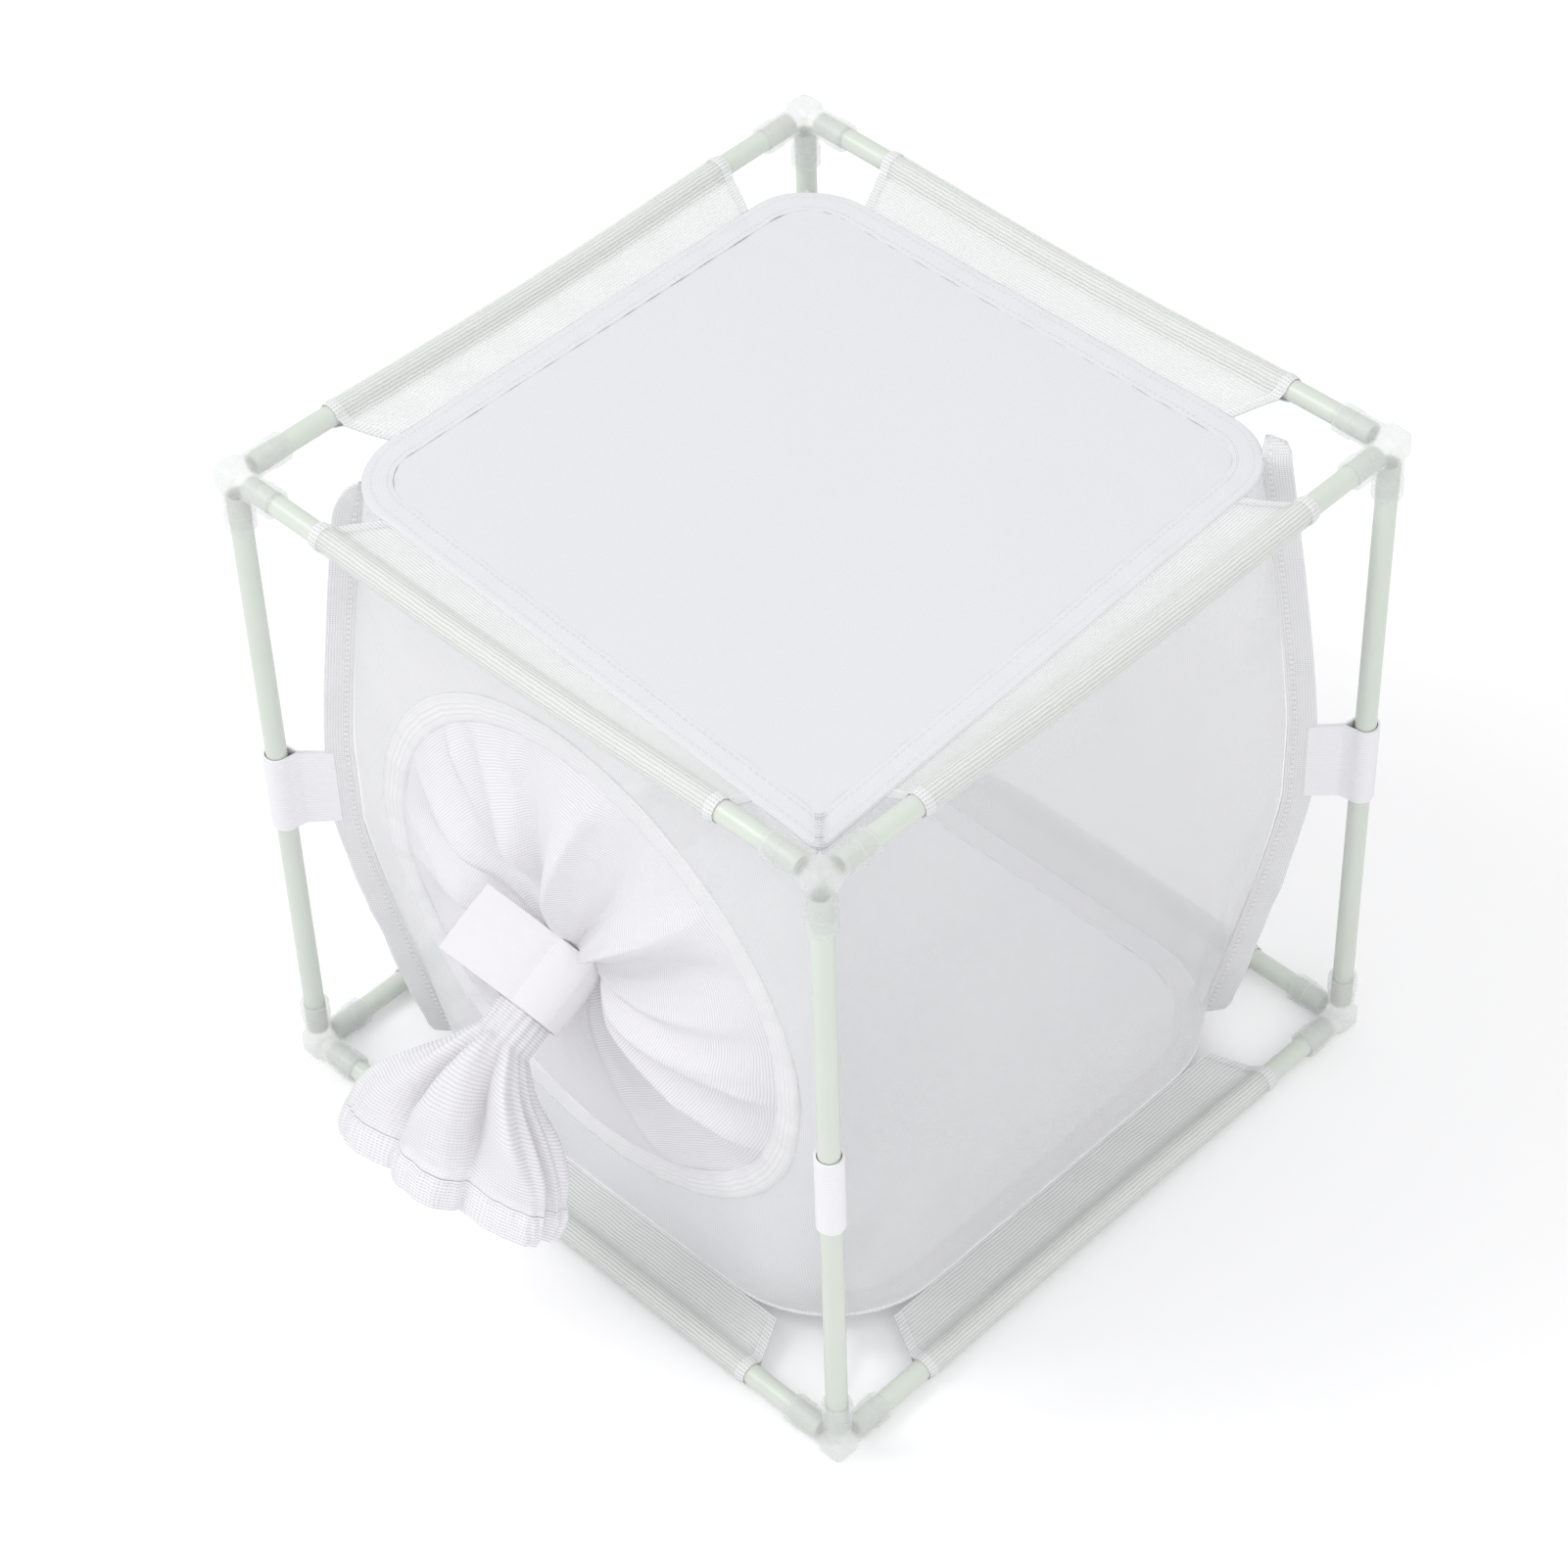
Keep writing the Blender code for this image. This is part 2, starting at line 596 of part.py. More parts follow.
def cone_mesh():
    """The sleeve's first stretch: a nearly flat cone of cloth with folds from ring to neck."""
    ring_radius = PORT_DIAMETER / 2 - PORT_BAND - GAP
    neck = neck_ring(0.0, NECK_WIDTH + 2 * GAP, NECK_THICKNESS + 2 * GAP, PORT_SIDES)
    front, back = [], []
    for share in (0.0, 0.3, 0.65, 1.0):
        outer, inner = [], []
        for k, (a, b) in enumerate(circle(ring_radius, PORT_SIDES)):
            start = Vector((a, wall_depth(a, PORT_LEVEL + b), PORT_LEVEL + b))
            point = start.lerp(neck[k], share)
            fold = math.cos(CONE_FOLDS * math.tau * k / PORT_SIDES)
            point.y -= 4 * share * (1 - share) * CONE_BULGE
            point.y -= math.sin(math.pi * share) * CONE_FOLD_DEPTH * fold
            outer.append(point - Vector((0, CONE_CLOTH / 2, 0)))
            inner.append(point + Vector((0, CONE_CLOTH / 2, 0)))
        front.append(outer)
        back.append(inner)
    return sheet_mesh("sleeve_cone", SLEEVE_MESH, front, back, True)


def neck_mesh():
    rings = [neck_ring(distance, NECK_WIDTH, NECK_THICKNESS, STRAP_SIDES)
             for distance in (-NECK_TUCK, NECK_LENGTH)]
    return solid_mesh("sleeve_neck", SLEEVE_MESH, rings)


def strap_loops():
    """The strap's section: a loop round the neck, doubled over the top up to the tab."""
    inner, outer = [], []
    across = (NECK_WIDTH / 2 + GAP) * STRAP_FACET
    up = (NECK_THICKNESS / 2 + GAP) * STRAP_FACET
    step = 360 / STRAP_SIDES
    top = STRAP_SIDES // 4
    layers = [(0, 1)]
    layers += [(k * step, 2) for k in range(1, top + 1)]
    layers += [(top * step + STRAP_LAP_STEP, 1)]
    layers += [(k * step, 1) for k in range(top + 1, STRAP_SIDES)]
    for degrees, count in layers:
        a, b = math.cos(math.radians(degrees)), math.sin(math.radians(degrees))
        thick = STRAP_CLOTH * count
        inner.append((a * across, b * up))
        outer.append((a * (across + thick), b * (up + thick)))
    return outer, inner


def strap_mesh():
    outer, inner = strap_loops()
    grids = []
    for loop in (outer, inner):
        grids.append([[NECK_ROOT + NECK_OUT * distance + ACROSS * a + NECK_UP * b
                       for a, b in loop] for distance in STRAP_SPAN])
    return sheet_mesh("tie_strap", WEBBING, grids[0], grids[1], True)


TAB_LEVEL = (NECK_THICKNESS / 2 + GAP) * STRAP_FACET + STRAP_CLOTH * 1.5 + GAP
TAB_PIVOT = (NECK_ROOT + NECK_OUT * (NECK_LENGTH / 2) + NECK_UP * TAB_LEVEL
             - ACROSS * (STRAP_CLOTH / 2 + TURN_GAP))


def tab_mesh():
    """The strap's free end, with a rounded root that turns in its own place."""
    half = STRAP_CLOTH / 2
    section = [(half * math.cos(math.radians(d)), half * math.sin(math.radians(d)))
               for d in (90, 45, 0, -45, -90)]
    section += [(-TAB_LENGTH + half, -half), (-TAB_LENGTH, 0), (-TAB_LENGTH + half, half)]
    rise = math.radians(TAB_RISE)
    outward = ACROSS * math.cos(rise) - NECK_UP * math.sin(rise)
    upward = NECK_UP * math.cos(rise) + ACROSS * math.sin(rise)
    rings = [[TAB_PIVOT + NECK_OUT * along + outward * a + upward * b for a, b in section]
             for along in (-STRAP_WIDTH / 2, STRAP_WIDTH / 2)]
    return solid_mesh("strap_tab", WEBBING, rings)


# Sleeve's tail: from a ball of cloth at the neck out to the wide, flat cuff
BALL_RADIUS = NECK_THICKNESS / 2
TAIL_SIDES = 4 * TAIL_FOLDS
TAIL_STEPS = 4
TAIL_PIVOT = NECK_ROOT + NECK_OUT * (NECK_LENGTH + TURN_GAP + BALL_RADIUS)


def tail_frames():
    """Places down the tail: centre, across and up, and share of the way, from the ball."""
    place = TAIL_PIVOT.copy()
    frames = [(place.copy(), ACROSS, NECK_UP, 0.0)]
    for step in range(1, TAIL_STEPS + 1):
        share = step / TAIL_STEPS
        bend = min(1.0, 2 * share)
        out, up = drooping(NECK_DROOP + (TAIL_DROOP - NECK_DROOP) * bend)
        place += (out * TAIL_LENGTH - ACROSS * TAIL_DRIFT) / TAIL_STEPS
        turn = Matrix.Rotation(math.radians(TAIL_TURN * share), 3, "Z")
        frames.append((place.copy(), turn @ ACROSS, turn @ up, share))
    return frames


def tail_size(share):
    """Half the width and half the thickness of the tail at a share of its length."""
    ease = share ** TAIL_FLARE
    widening = math.sin(ease * math.pi / 2)
    width = BALL_RADIUS + (CUFF_WIDTH / 2 - BALL_RADIUS) * widening
    thickness = BALL_RADIUS + (CUFF_THICKNESS / 2 - BALL_RADIUS) * ease
    return width, thickness


def tail_ring(centre, across, up, share, inset):
    width, thickness = tail_size(share)
    fold_depth = TAIL_FOLD_DEPTH * max(0.0, math.sin(share * math.pi)) ** TAIL_FOLD_FADE
    points = []
    for a, b in circle(1.0, TAIL_SIDES):
        fold = 1 + fold_depth * math.cos(TAIL_FOLDS * math.atan2(b, a))
        points.append(centre + across * (a * (width * fold - inset))
                      + up * (b * (thickness * fold - inset)))
    return points


def tail_mesh():
    grids = []
    for inset in (0.0, TAIL_CLOTH):
        radius = BALL_RADIUS - inset
        rows = []
        for degrees in (BALL_MOUTH, (BALL_MOUTH + 90) / 2):
            angle = math.radians(degrees)
            centre = TAIL_PIVOT - NECK_OUT * radius * math.cos(angle)
            rows.append([centre + (ACROSS * a + NECK_UP * b) * radius * math.sin(angle)
                         for a, b in circle(1.0, TAIL_SIDES)])
        rows += [tail_ring(*frame, inset) for frame in tail_frames()]
        grids.append(rows)
    return sheet_mesh("sleeve_tail", SLEEVE_MESH, grids[0], grids[1], True)


def cuff_mesh():
    """The casing at the end, with its elastic inside, a little thicker than the cloth."""
    centre, across, up, share = tail_frames()[-1]
    out = across.cross(up)
    extra = (CUFF_CLOTH - TAIL_CLOTH) / 2
    rows = ((GAP, 0.0), (GAP + CUFF_EDGE, extra), (CUFF_LENGTH - CUFF_EDGE, extra),
            (CUFF_LENGTH, 0.0))
    grids = []
    for outward in (1, -1):
        grid = []
        for along, swell in rows:
            inset = -swell if outward > 0 else TAIL_CLOTH + swell
            grid.append(tail_ring(centre + out * along, across, up, share, inset))
        grids.append(grid)
    return sheet_mesh("cuff", SLEEVE_MESH, grids[0], grids[1], True)


def move_origin_under_middle():
    """Moves the whole cage so that the origin is under the middle of its box, at its feet."""
    bpy.context.view_layer.update()
    points = [piece.matrix_world @ Vector(corner) for piece in bpy.context.scene.objects
              if piece.type == "MESH" for corner in piece.bound_box]
    low = Vector([min(point[axis] for point in points) for axis in range(3)])
    high = Vector([max(point[axis] for point in points) for axis in range(3)])
    cage.location = (-(low.x + high.x) / 2, -(low.y + high.y) / 2, -low.z)


for old in list(bpy.data.objects):
    bpy.data.objects.remove(old)

ROD_PLASTIC = plastic("rod_plastic", (0.60, 0.72, 0.62), 0.35)
SOCKET_PLASTIC = plastic("socket_plastic", (0.80, 0.86, 0.82), 0.30, 0.75)
FINE_MESH = cloth("fine_mesh", (0.86, 0.86, 0.90), 0.5)
WINDOW_FILM = plastic("window_film", (0.80, 0.80, 0.84), 0.20, 0.35)
POCKET_MESH = cloth("pocket_mesh", (0.88, 0.90, 0.89), 0.7)
SLEEVE_MESH = cloth("sleeve_mesh", (0.90, 0.89, 0.93), 0.7)
TOP_FABRIC = cloth("top_fabric", (0.79, 0.79, 0.84))
TAPE_FABRIC = cloth("tape_fabric", (0.87, 0.86, 0.90))
WEBBING = cloth("webbing", (0.91, 0.91, 0.92))

cage = bpy.data.objects.new("cage", None)
bpy.context.scene.collection.objects.link(cage)

PIVOTS = {"sleeve_pivot": NECK_ROOT, "cuff_pivot": TAIL_PIVOT, "tab_pivot": TAB_PIVOT}
pivots = {}
for pivot_name, parent_name in (("sleeve_pivot", None), ("cuff_pivot", "sleeve_pivot"),
                                ("tab_pivot", "sleeve_pivot")):
    empty = bpy.data.objects.new(pivot_name, None)
    bpy.context.scene.collection.objects.link(empty)
    empty.parent = pivots[parent_name] if parent_name else cage
    empty.location = PIVOTS[pivot_name] - (PIVOTS[parent_name] if parent_name else Vector())
    pivots[pivot_name] = empty

levels = {"bottom": (BOTTOM_LEVEL, BOTTOM_ROD_RISE, BAND_BOTTOM),
          "top": (TOP_LEVEL, -TOP_ROD_SAG, BAND_TOP)}
socket_data = socket_mesh()
flip = Matrix.Rotation(math.pi, 4, Vector((1, -1, 0)))
for level_name, (level, depth, seam_level) in levels.items():
    rod_data = side_rod_mesh(f"rod_{level_name}", level, depth)
    for index in range(4):
        add(f"rod_{level_name}_{SIDES[index]}", rod_data, quarter_turn(index))
        near = (1, -1, 0, 0)[index] if level_name == "top" else 0
        pocket_data = pocket_mesh(f"pocket_{level_name}_{SIDES[index]}", level, depth,
                                  seam_level, near)
        add(f"pocket_{level_name}_{SIDES[index]}", pocket_data, quarter_turn(index))
        place = Matrix.Translation((HALF_SPAN, -HALF_SPAN, level))
        turn = flip if level_name == "top" else Matrix.Identity(4)
        add(f"socket_{level_name}_{CORNERS[index]}", socket_data,
            quarter_turn(index) @ place @ turn)

post_data, loop_data, tape_data = post_mesh(), post_loop_mesh(), tape_mesh()
for index in range(4):
    add(f"post_{CORNERS[index]}", post_data, quarter_turn(index))
    add(f"post_loop_{CORNERS[index]}", loop_data, quarter_turn(index))
    add(f"corner_tape_{CORNERS[index]}", tape_data if index else tape_mesh(near=1),
        quarter_turn(index))

top_radii = (NEAR_CORNER_RADIUS, TOP_CORNER_RADIUS, TOP_CORNER_RADIUS, TOP_CORNER_RADIUS)
floor_radii = (BOTTOM_CORNER_RADIUS,) * 4
add("front_wall", port_wall_mesh())
add("window_right", plain_wall_mesh("window_right", WINDOW_FILM, near=-1), quarter_turn(1))
add("back_wall", plain_wall_mesh("back_wall", FINE_MESH), quarter_turn(2))
add("left_wall", plain_wall_mesh("left_wall", FINE_MESH), quarter_turn(3))
add("top_panel", end_panel_mesh("top_panel", BAND_TOP, top_radii, pulled=True))
add("floor_panel", end_panel_mesh("floor_panel", BAND_BOTTOM, floor_radii))
add("top_band", band_mesh("top_band", BAND_TOP, top_radii, pulled=True))
add("floor_band", band_mesh("floor_band", BAND_BOTTOM, floor_radii))

add("port_ring", port_ring_mesh())
add("sleeve_cone", cone_mesh())
add("sleeve_neck", neck_mesh(), None, pivots["sleeve_pivot"])
add("tie_strap", strap_mesh(), None, pivots["sleeve_pivot"])
add("strap_tab", tab_mesh(), None, pivots["tab_pivot"])
add("sleeve_tail", tail_mesh(), None, pivots["cuff_pivot"])
add("cuff", cuff_mesh(), None, pivots["cuff_pivot"])

move_origin_under_middle()
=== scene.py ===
"""Looks of the mesh insect cage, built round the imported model, in metres.

The port faces -Y and the clear window faces +X. Shapes are worked out about the middle of
the cage's plan and then moved to their place.
"""
import math

import bpy
from mathutils import Matrix, Vector


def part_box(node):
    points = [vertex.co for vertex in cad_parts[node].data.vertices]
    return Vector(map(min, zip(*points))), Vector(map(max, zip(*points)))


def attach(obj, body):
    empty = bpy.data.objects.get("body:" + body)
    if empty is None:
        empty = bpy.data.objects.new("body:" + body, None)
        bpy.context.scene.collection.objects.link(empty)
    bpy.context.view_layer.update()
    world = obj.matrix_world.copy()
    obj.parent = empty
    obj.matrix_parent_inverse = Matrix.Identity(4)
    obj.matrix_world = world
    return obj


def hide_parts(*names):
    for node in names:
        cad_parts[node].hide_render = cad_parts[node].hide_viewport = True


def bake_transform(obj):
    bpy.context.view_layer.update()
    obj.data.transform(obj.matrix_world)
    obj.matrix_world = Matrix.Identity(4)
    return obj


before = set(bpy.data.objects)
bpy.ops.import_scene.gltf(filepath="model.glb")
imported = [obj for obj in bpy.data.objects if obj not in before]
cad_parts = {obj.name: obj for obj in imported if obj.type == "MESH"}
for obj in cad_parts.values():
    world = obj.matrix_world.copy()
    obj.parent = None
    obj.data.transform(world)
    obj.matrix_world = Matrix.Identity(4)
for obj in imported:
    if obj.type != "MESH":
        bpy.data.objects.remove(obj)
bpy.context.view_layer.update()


# Camera: the photograph looks down at the cage's front right corner from a little under two
# metres away, through a long lens that keeps the cage's upright edges nearly parallel.
CAMERA_PLACE = Vector((0.8461, -0.8042, 1.3285))
CAMERA_AZIMUTH = math.radians(46.07)
CAMERA_ELEVATION = math.radians(44.88)
CAMERA_ROLL = -0.0392
camera_data = bpy.data.cameras.new("camera")
camera_data.sensor_width = 36.0
camera_data.lens = 101.33
camera = bpy.data.objects.new("camera", camera_data)
bpy.context.scene.collection.objects.link(camera)
camera_turn = (Matrix.Rotation(CAMERA_AZIMUTH, 3, "Z")
               @ Matrix.Rotation(math.pi / 2 - CAMERA_ELEVATION, 3, "X")
               @ Matrix.Rotation(CAMERA_ROLL, 3, "Z"))
camera.matrix_world = Matrix.Translation(CAMERA_PLACE) @ camera_turn.to_4x4()
bpy.context.scene.camera = camera


# Studio: a pale floor, a large soft lamp above on the left, a weaker one on the right, and
# an even surround. The floor shows white to the camera but keeps the cage's shadow.
FLOOR_SIZE = 9.0
FLOOR_COLOR = (0.86, 0.86, 0.87)
FLOOR_LIFT = 0.20           # added for the camera, so that the lit floor reaches white
SURROUND = 0.80


def feed(tree, socket, value):
    """Gives an input a number or a colour, or links an output to it."""
    if isinstance(value, bpy.types.NodeSocket):
        tree.links.new(value, socket)
    else:
        socket.default_value = value


def add_node(tree, kind, **inputs):
    """A node with its inputs fed, by name, or by number as i0, i1 and so on."""
    made = tree.nodes.new("ShaderNode" + kind)
    for socket_name, value in inputs.items():
        feed(tree, made.inputs[int(socket_name[1:]) if socket_name[1:].isdigit()
                               else socket_name.replace("_", " ")], value)
    return made


def math_node(tree, operation, first, second=0.0, third=0.0):
    made = add_node(tree, "Math", i0=first, i1=second, i2=third)
    made.operation = operation
    return made.outputs[0]


def finish(name, **constants):
    """A material with its shader's plain values set; its patterns are linked in after."""
    material = bpy.data.materials.new(name)
    material.use_nodes = True
    tree = material.node_tree
    surface = tree.nodes["Principled BSDF"]
    for constant, value in constants.items():
        surface.inputs[constant.replace("_", " ")].default_value = value
    return material, tree, surface


bpy.ops.object.select_all(action="DESELECT")
bpy.ops.mesh.primitive_plane_add(size=FLOOR_SIZE, location=(0, 0, 0))
floor = bpy.context.object
floor.name = "floor"
floor_material, tree, surface = finish(
    "floor", Base_Color=(*FLOOR_COLOR, 1.0), Roughness=0.9, Specular_IOR_Level=0.1,
    Emission_Color=(1.0, 1.0, 1.0, 1.0))
paths = tree.nodes.new("ShaderNodeLightPath").outputs
seen = math_node(tree, "MAXIMUM", paths["Is Camera Ray"], paths["Is Glossy Ray"])
feed(tree, surface.inputs["Emission Strength"], math_node(tree, "MULTIPLY", seen, FLOOR_LIFT))
floor.data.materials.append(floor_material)

world = bpy.data.worlds.new("surround")
bpy.context.scene.world = world
world.use_nodes = True
world.node_tree.nodes["Background"].inputs["Color"].default_value = (1.0, 1.0, 1.0, 1.0)
world.node_tree.nodes["Background"].inputs["Strength"].default_value = SURROUND
for lamp_name, lamp_place, lamp_size, lamp_power in (
        ("key_lamp", (-1.3, -1.4, 2.3), 1.3, 22.0),
        ("side_lamp", (1.7, -1.0, 1.5), 1.2, 10.0)):
    lamp_data = bpy.data.lights.new(lamp_name, "AREA")
    lamp_data.size = lamp_size
    lamp_data.energy = lamp_power
    lamp = bpy.data.objects.new(lamp_name, lamp_data)
    bpy.context.scene.collection.objects.link(lamp)
    lamp.location = lamp_place
    lamp.rotation_euler = (Vector((0, 0, 0.15)) - Vector(lamp_place)).to_track_quat(
        "-Z", "Y").to_euler()
bpy.context.scene.view_settings.view_transform = "Standard"
bpy.context.scene.cycles.transparent_max_bounces = 32


# Corner sockets: eight moulded elbows of milky plastic, each a rounded block with three
# blind sockets at right angles and a thick lip round each mouth. The rods push into them.
SOCKET_SIDES = 40
BORE_RADIUS = 0.00445
ARM_RADIUS = 0.0054
LIP_RADIUS = 0.0059
LIP_LENGTH = 0.0074
SOCKET_FLOOR = 0.00815
SOCKET_REACH = 0.02295
BLOCK_ROUNDING = 0.0030
BOTTOM_LEVEL = 0.0059
TOP_LEVEL = 0.3059
CORNERS = ("front_right", "back_right", "back_left", "front_left")
low_corner, high_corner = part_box("post_front_right")
HALF_SPAN = (low_corner[0] + high_corner[0]) / 2
CAGE_PLACE = Vector((0, (low_corner[1] + high_corner[1]) / 2 + HALF_SPAN, 0))


def select_only(piece):
    bpy.ops.object.select_all(action="DESELECT")
    piece.select_set(True)
    bpy.context.view_layer.objects.active = piece


def extruded_round(name, profile, sides, filled=True):
    """A round shape up the Z axis: its end is extruded and scaled to each (height, radius)."""
    bpy.ops.object.select_all(action="DESELECT")
    (height, radius), *others = profile
    bpy.ops.mesh.primitive_circle_add(vertices=sides, radius=radius,
                                      fill_type="NGON" if filled else "NOTHING")
    piece = bpy.context.object
    piece.name = name
    piece.data.transform(Matrix.Translation((0, 0, height)))
    bpy.ops.object.mode_set(mode="EDIT")
    bpy.ops.mesh.select_all(action="SELECT")
    for next_height, next_radius in others:
        bpy.ops.mesh.extrude_region_move(
            TRANSFORM_OT_translate={"value": (0, 0, next_height - height)})
        if next_radius != radius:
            scale = next_radius / radius
            bpy.ops.transform.resize(value=(scale, scale, 1),
                                     center_override=(0, 0, next_height))
        height, radius = next_height, next_radius
    bpy.ops.mesh.select_all(action="SELECT")
    bpy.ops.mesh.normals_make_consistent(inside=False)
    bpy.ops.object.mode_set(mode="OBJECT")
    return piece


def apply_modifier(piece, kind, **settings):
    select_only(piece)
    modifier = piece.modifiers.new(kind.lower(), kind)
    for setting, value in settings.items():
        setattr(modifier, setting, value)
    bpy.ops.object.modifier_apply(modifier=modifier.name)


def ease_edges(piece, width, degrees):
    """A small bevel on the edges that turn more than this."""
    apply_modifier(piece, "BEVEL", width=width, segments=2, limit_method="ANGLE",
                   angle_limit=math.radians(degrees))


def shade(piece, degrees, material):
    """Smooth shading across the edges that turn less than this, and the material."""
    select_only(piece)
    bpy.ops.object.shade_smooth_by_angle(angle=math.radians(degrees))
    piece.data.materials.append(material)


def combine(piece, other, operation):
    apply_modifier(piece, "BOOLEAN", operation=operation, solver="EXACT", object=other)
    bpy.data.objects.remove(other)


def copy_of(piece, name, place):
    """Another of the same piece, with its own mesh, moved by a matrix."""
    twin = piece.copy()
    twin.data = piece.data.copy()
    twin.name = name
    bpy.context.scene.collection.objects.link(twin)
    twin.data.transform(place)
    return twin


def quarter_turn(index):
    return Matrix.Rotation(index * math.pi / 2, 4, "Z")


def put_in_place(piece, body, nodes_replaced):
    """Moves a finished piece from the middle of the plan to its place and fixes it there."""
    piece.data.name = piece.name
    piece.data.transform(Matrix.Translation(CAGE_PLACE))
    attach(piece, body)
    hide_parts(*nodes_replaced)


def mixed(tree, factor, first, second):
    """Between two colours."""
    made = tree.nodes.new("ShaderNodeMix")
    made.data_type = "RGBA"
    for index, value in ((0, factor), (6, first), (7, second)):
        feed(tree, made.inputs[index], (*value, 1.0) if isinstance(value, tuple) else value)
    return made.outputs[2]


def between(tree, factor, low, high):
    """A number that goes from low to high as the factor goes from 0 to 1."""
    return add_node(tree, "MapRange", Value=factor, To_Min=low, To_Max=high).outputs["Result"]


def effect_group(name, inputs, outputs):
    """An empty node group with named float inputs, a Vector input first, and its outputs."""
    tree = bpy.data.node_groups.new(name, "ShaderNodeTree")
    tree.interface.new_socket("Vector", in_out="INPUT", socket_type="NodeSocketVector")
    for socket_name, value in inputs:
        tree.interface.new_socket(socket_name, in_out="INPUT",
                                  socket_type="NodeSocketFloat").default_value = value
    for socket_name in outputs:
        tree.interface.new_socket(socket_name, in_out="OUTPUT", socket_type="NodeSocketFloat")
    return tree, tree.nodes.new("NodeGroupInput"), tree.nodes.new("NodeGroupOutput")


# Moulding and drawing leave a soft cloudiness and a fine grain in the plastic.
moulded, given, result = effect_group("moulded_plastic", [("Cloud Size", 60.0),
                                                          ("Grain Size", 900.0)],
                                      ["Cloud", "Grain"])
cloud = add_node(moulded, "TexNoise", Vector=given.outputs["Vector"],
                 Scale=given.outputs["Cloud Size"], Detail=2.0)
grain = add_node(moulded, "TexNoise", Vector=given.outputs["Vector"],
                 Scale=given.outputs["Grain Size"], Detail=1.0)
moulded.links.new(cloud.outputs[0], result.inputs["Cloud"])
moulded.links.new(grain.outputs[0], result.inputs["Grain"])


def place_group(tree, group, vector, **inputs):
    made = tree.nodes.new("ShaderNodeGroup")
    made.node_tree = group
    for socket_name, value in {"Vector": vector, **inputs}.items():
        feed(tree, made.inputs[socket_name.replace("_", " ")], value)
    return made.outputs


def raise_surface(tree, surface, height, distance, strength=1.0):
    bump = add_node(tree, "Bump", Height=height, Distance=distance, Strength=strength)
    tree.links.new(bump.outputs["Normal"], surface.inputs["Normal"])


def plastic(name, sizes, colors, alphas, roughnesses, raised, distance, strength=1.0,
            **constants):
    """Plastic whose colour and alpha follow its cloudiness, and its roughness its grain."""
    material, tree, surface = finish(name, **constants)
    object_place = tree.nodes.new("ShaderNodeTexCoord").outputs["Object"]
    marks = place_group(tree, moulded, object_place, Cloud_Size=sizes[0], Grain_Size=sizes[1])
    tree.links.new(mixed(tree, marks["Cloud"], *colors), surface.inputs["Base Color"])
    if alphas[0] < 1.0:
        tree.links.new(between(tree, marks["Cloud"], *alphas), surface.inputs["Alpha"])
    tree.links.new(between(tree, marks["Grain"], *roughnesses), surface.inputs["Roughness"])
    raise_surface(tree, surface, marks[raised], distance, strength)
    return material


socket_plastic = plastic("socket_plastic", (140.0, 1500.0),
                         ((0.855, 0.875, 0.865), (0.885, 0.90, 0.89)), (0.27, 0.34),
                         (0.22, 0.36), "Grain", 0.00002, Coat_Weight=0.15)

bpy.ops.object.select_all(action="DESELECT")
bpy.ops.mesh.primitive_cube_add(size=2 * LIP_RADIUS)
elbow = bpy.context.object
bpy.ops.object.mode_set(mode="EDIT")
bpy.ops.mesh.select_all(action="SELECT")
bpy.ops.mesh.bevel(offset=BLOCK_ROUNDING, segments=5, affect="EDGES")
bpy.ops.object.mode_set(mode="OBJECT")
ease = (LIP_RADIUS - ARM_RADIUS) * 1.2        # length over which the lip rises
arm_profile = [(0.0, ARM_RADIUS), (SOCKET_REACH - LIP_LENGTH, ARM_RADIUS),
               (SOCKET_REACH - LIP_LENGTH + ease / 2, (ARM_RADIUS + LIP_RADIUS) / 2),
               (SOCKET_REACH - LIP_LENGTH + ease, LIP_RADIUS),
               (SOCKET_REACH - ease, LIP_RADIUS),
               (SOCKET_REACH - ease / 4, (ARM_RADIUS + LIP_RADIUS * 2) / 3),
               (SOCKET_REACH, ARM_RADIUS)]
bore_profile = [(SOCKET_FLOOR, BORE_RADIUS), (SOCKET_REACH + 0.01, BORE_RADIUS)]
arm_turns = (Matrix.Rotation(-math.pi / 2, 4, "Y"), Matrix.Rotation(-math.pi / 2, 4, "X"),
             Matrix.Identity(4))
for profile, operation in ((arm_profile, "UNION"), (bore_profile, "DIFFERENCE")):
    for turn in arm_turns:
        arm = extruded_round("arm", profile, SOCKET_SIDES)
        arm.data.transform(turn)
        combine(elbow, arm, operation)
ease_edges(elbow, 0.00025, 40)
elbow.data.materials.clear()
shade(elbow, 35, socket_plastic)
upside_down = Matrix.Rotation(math.pi, 4, Vector((1, -1, 0)))
for level_name, level, turn in (("bottom", BOTTOM_LEVEL, Matrix.Identity(4)),
                                ("top", TOP_LEVEL, upside_down)):
    for index, corner in enumerate(CORNERS):
        place = (quarter_turn(index) @ Matrix.Translation((HALF_SPAN, -HALF_SPAN, level))
                 @ turn)
        piece = copy_of(elbow, f"elbow_{level_name}_{corner}", place)
        put_in_place(piece, "root", [f"socket_{level_name}_{corner}"])
bpy.data.objects.remove(elbow)


# Rods: thin-walled tube of pale green plastic, cut to one length for each direction. The
# bag's pull bows the level ones a little; the uprights stay straight.
ROD_RADIUS = 0.00415
ROD_WALL = 0.0010
ROD_SIDES = 40
ROD_INSET = 0.00845         # corner centre to the rod's end
TOP_SAG = 0.0026
BOTTOM_RISE = 0.0019
SIDES = ("front", "right", "back", "left")


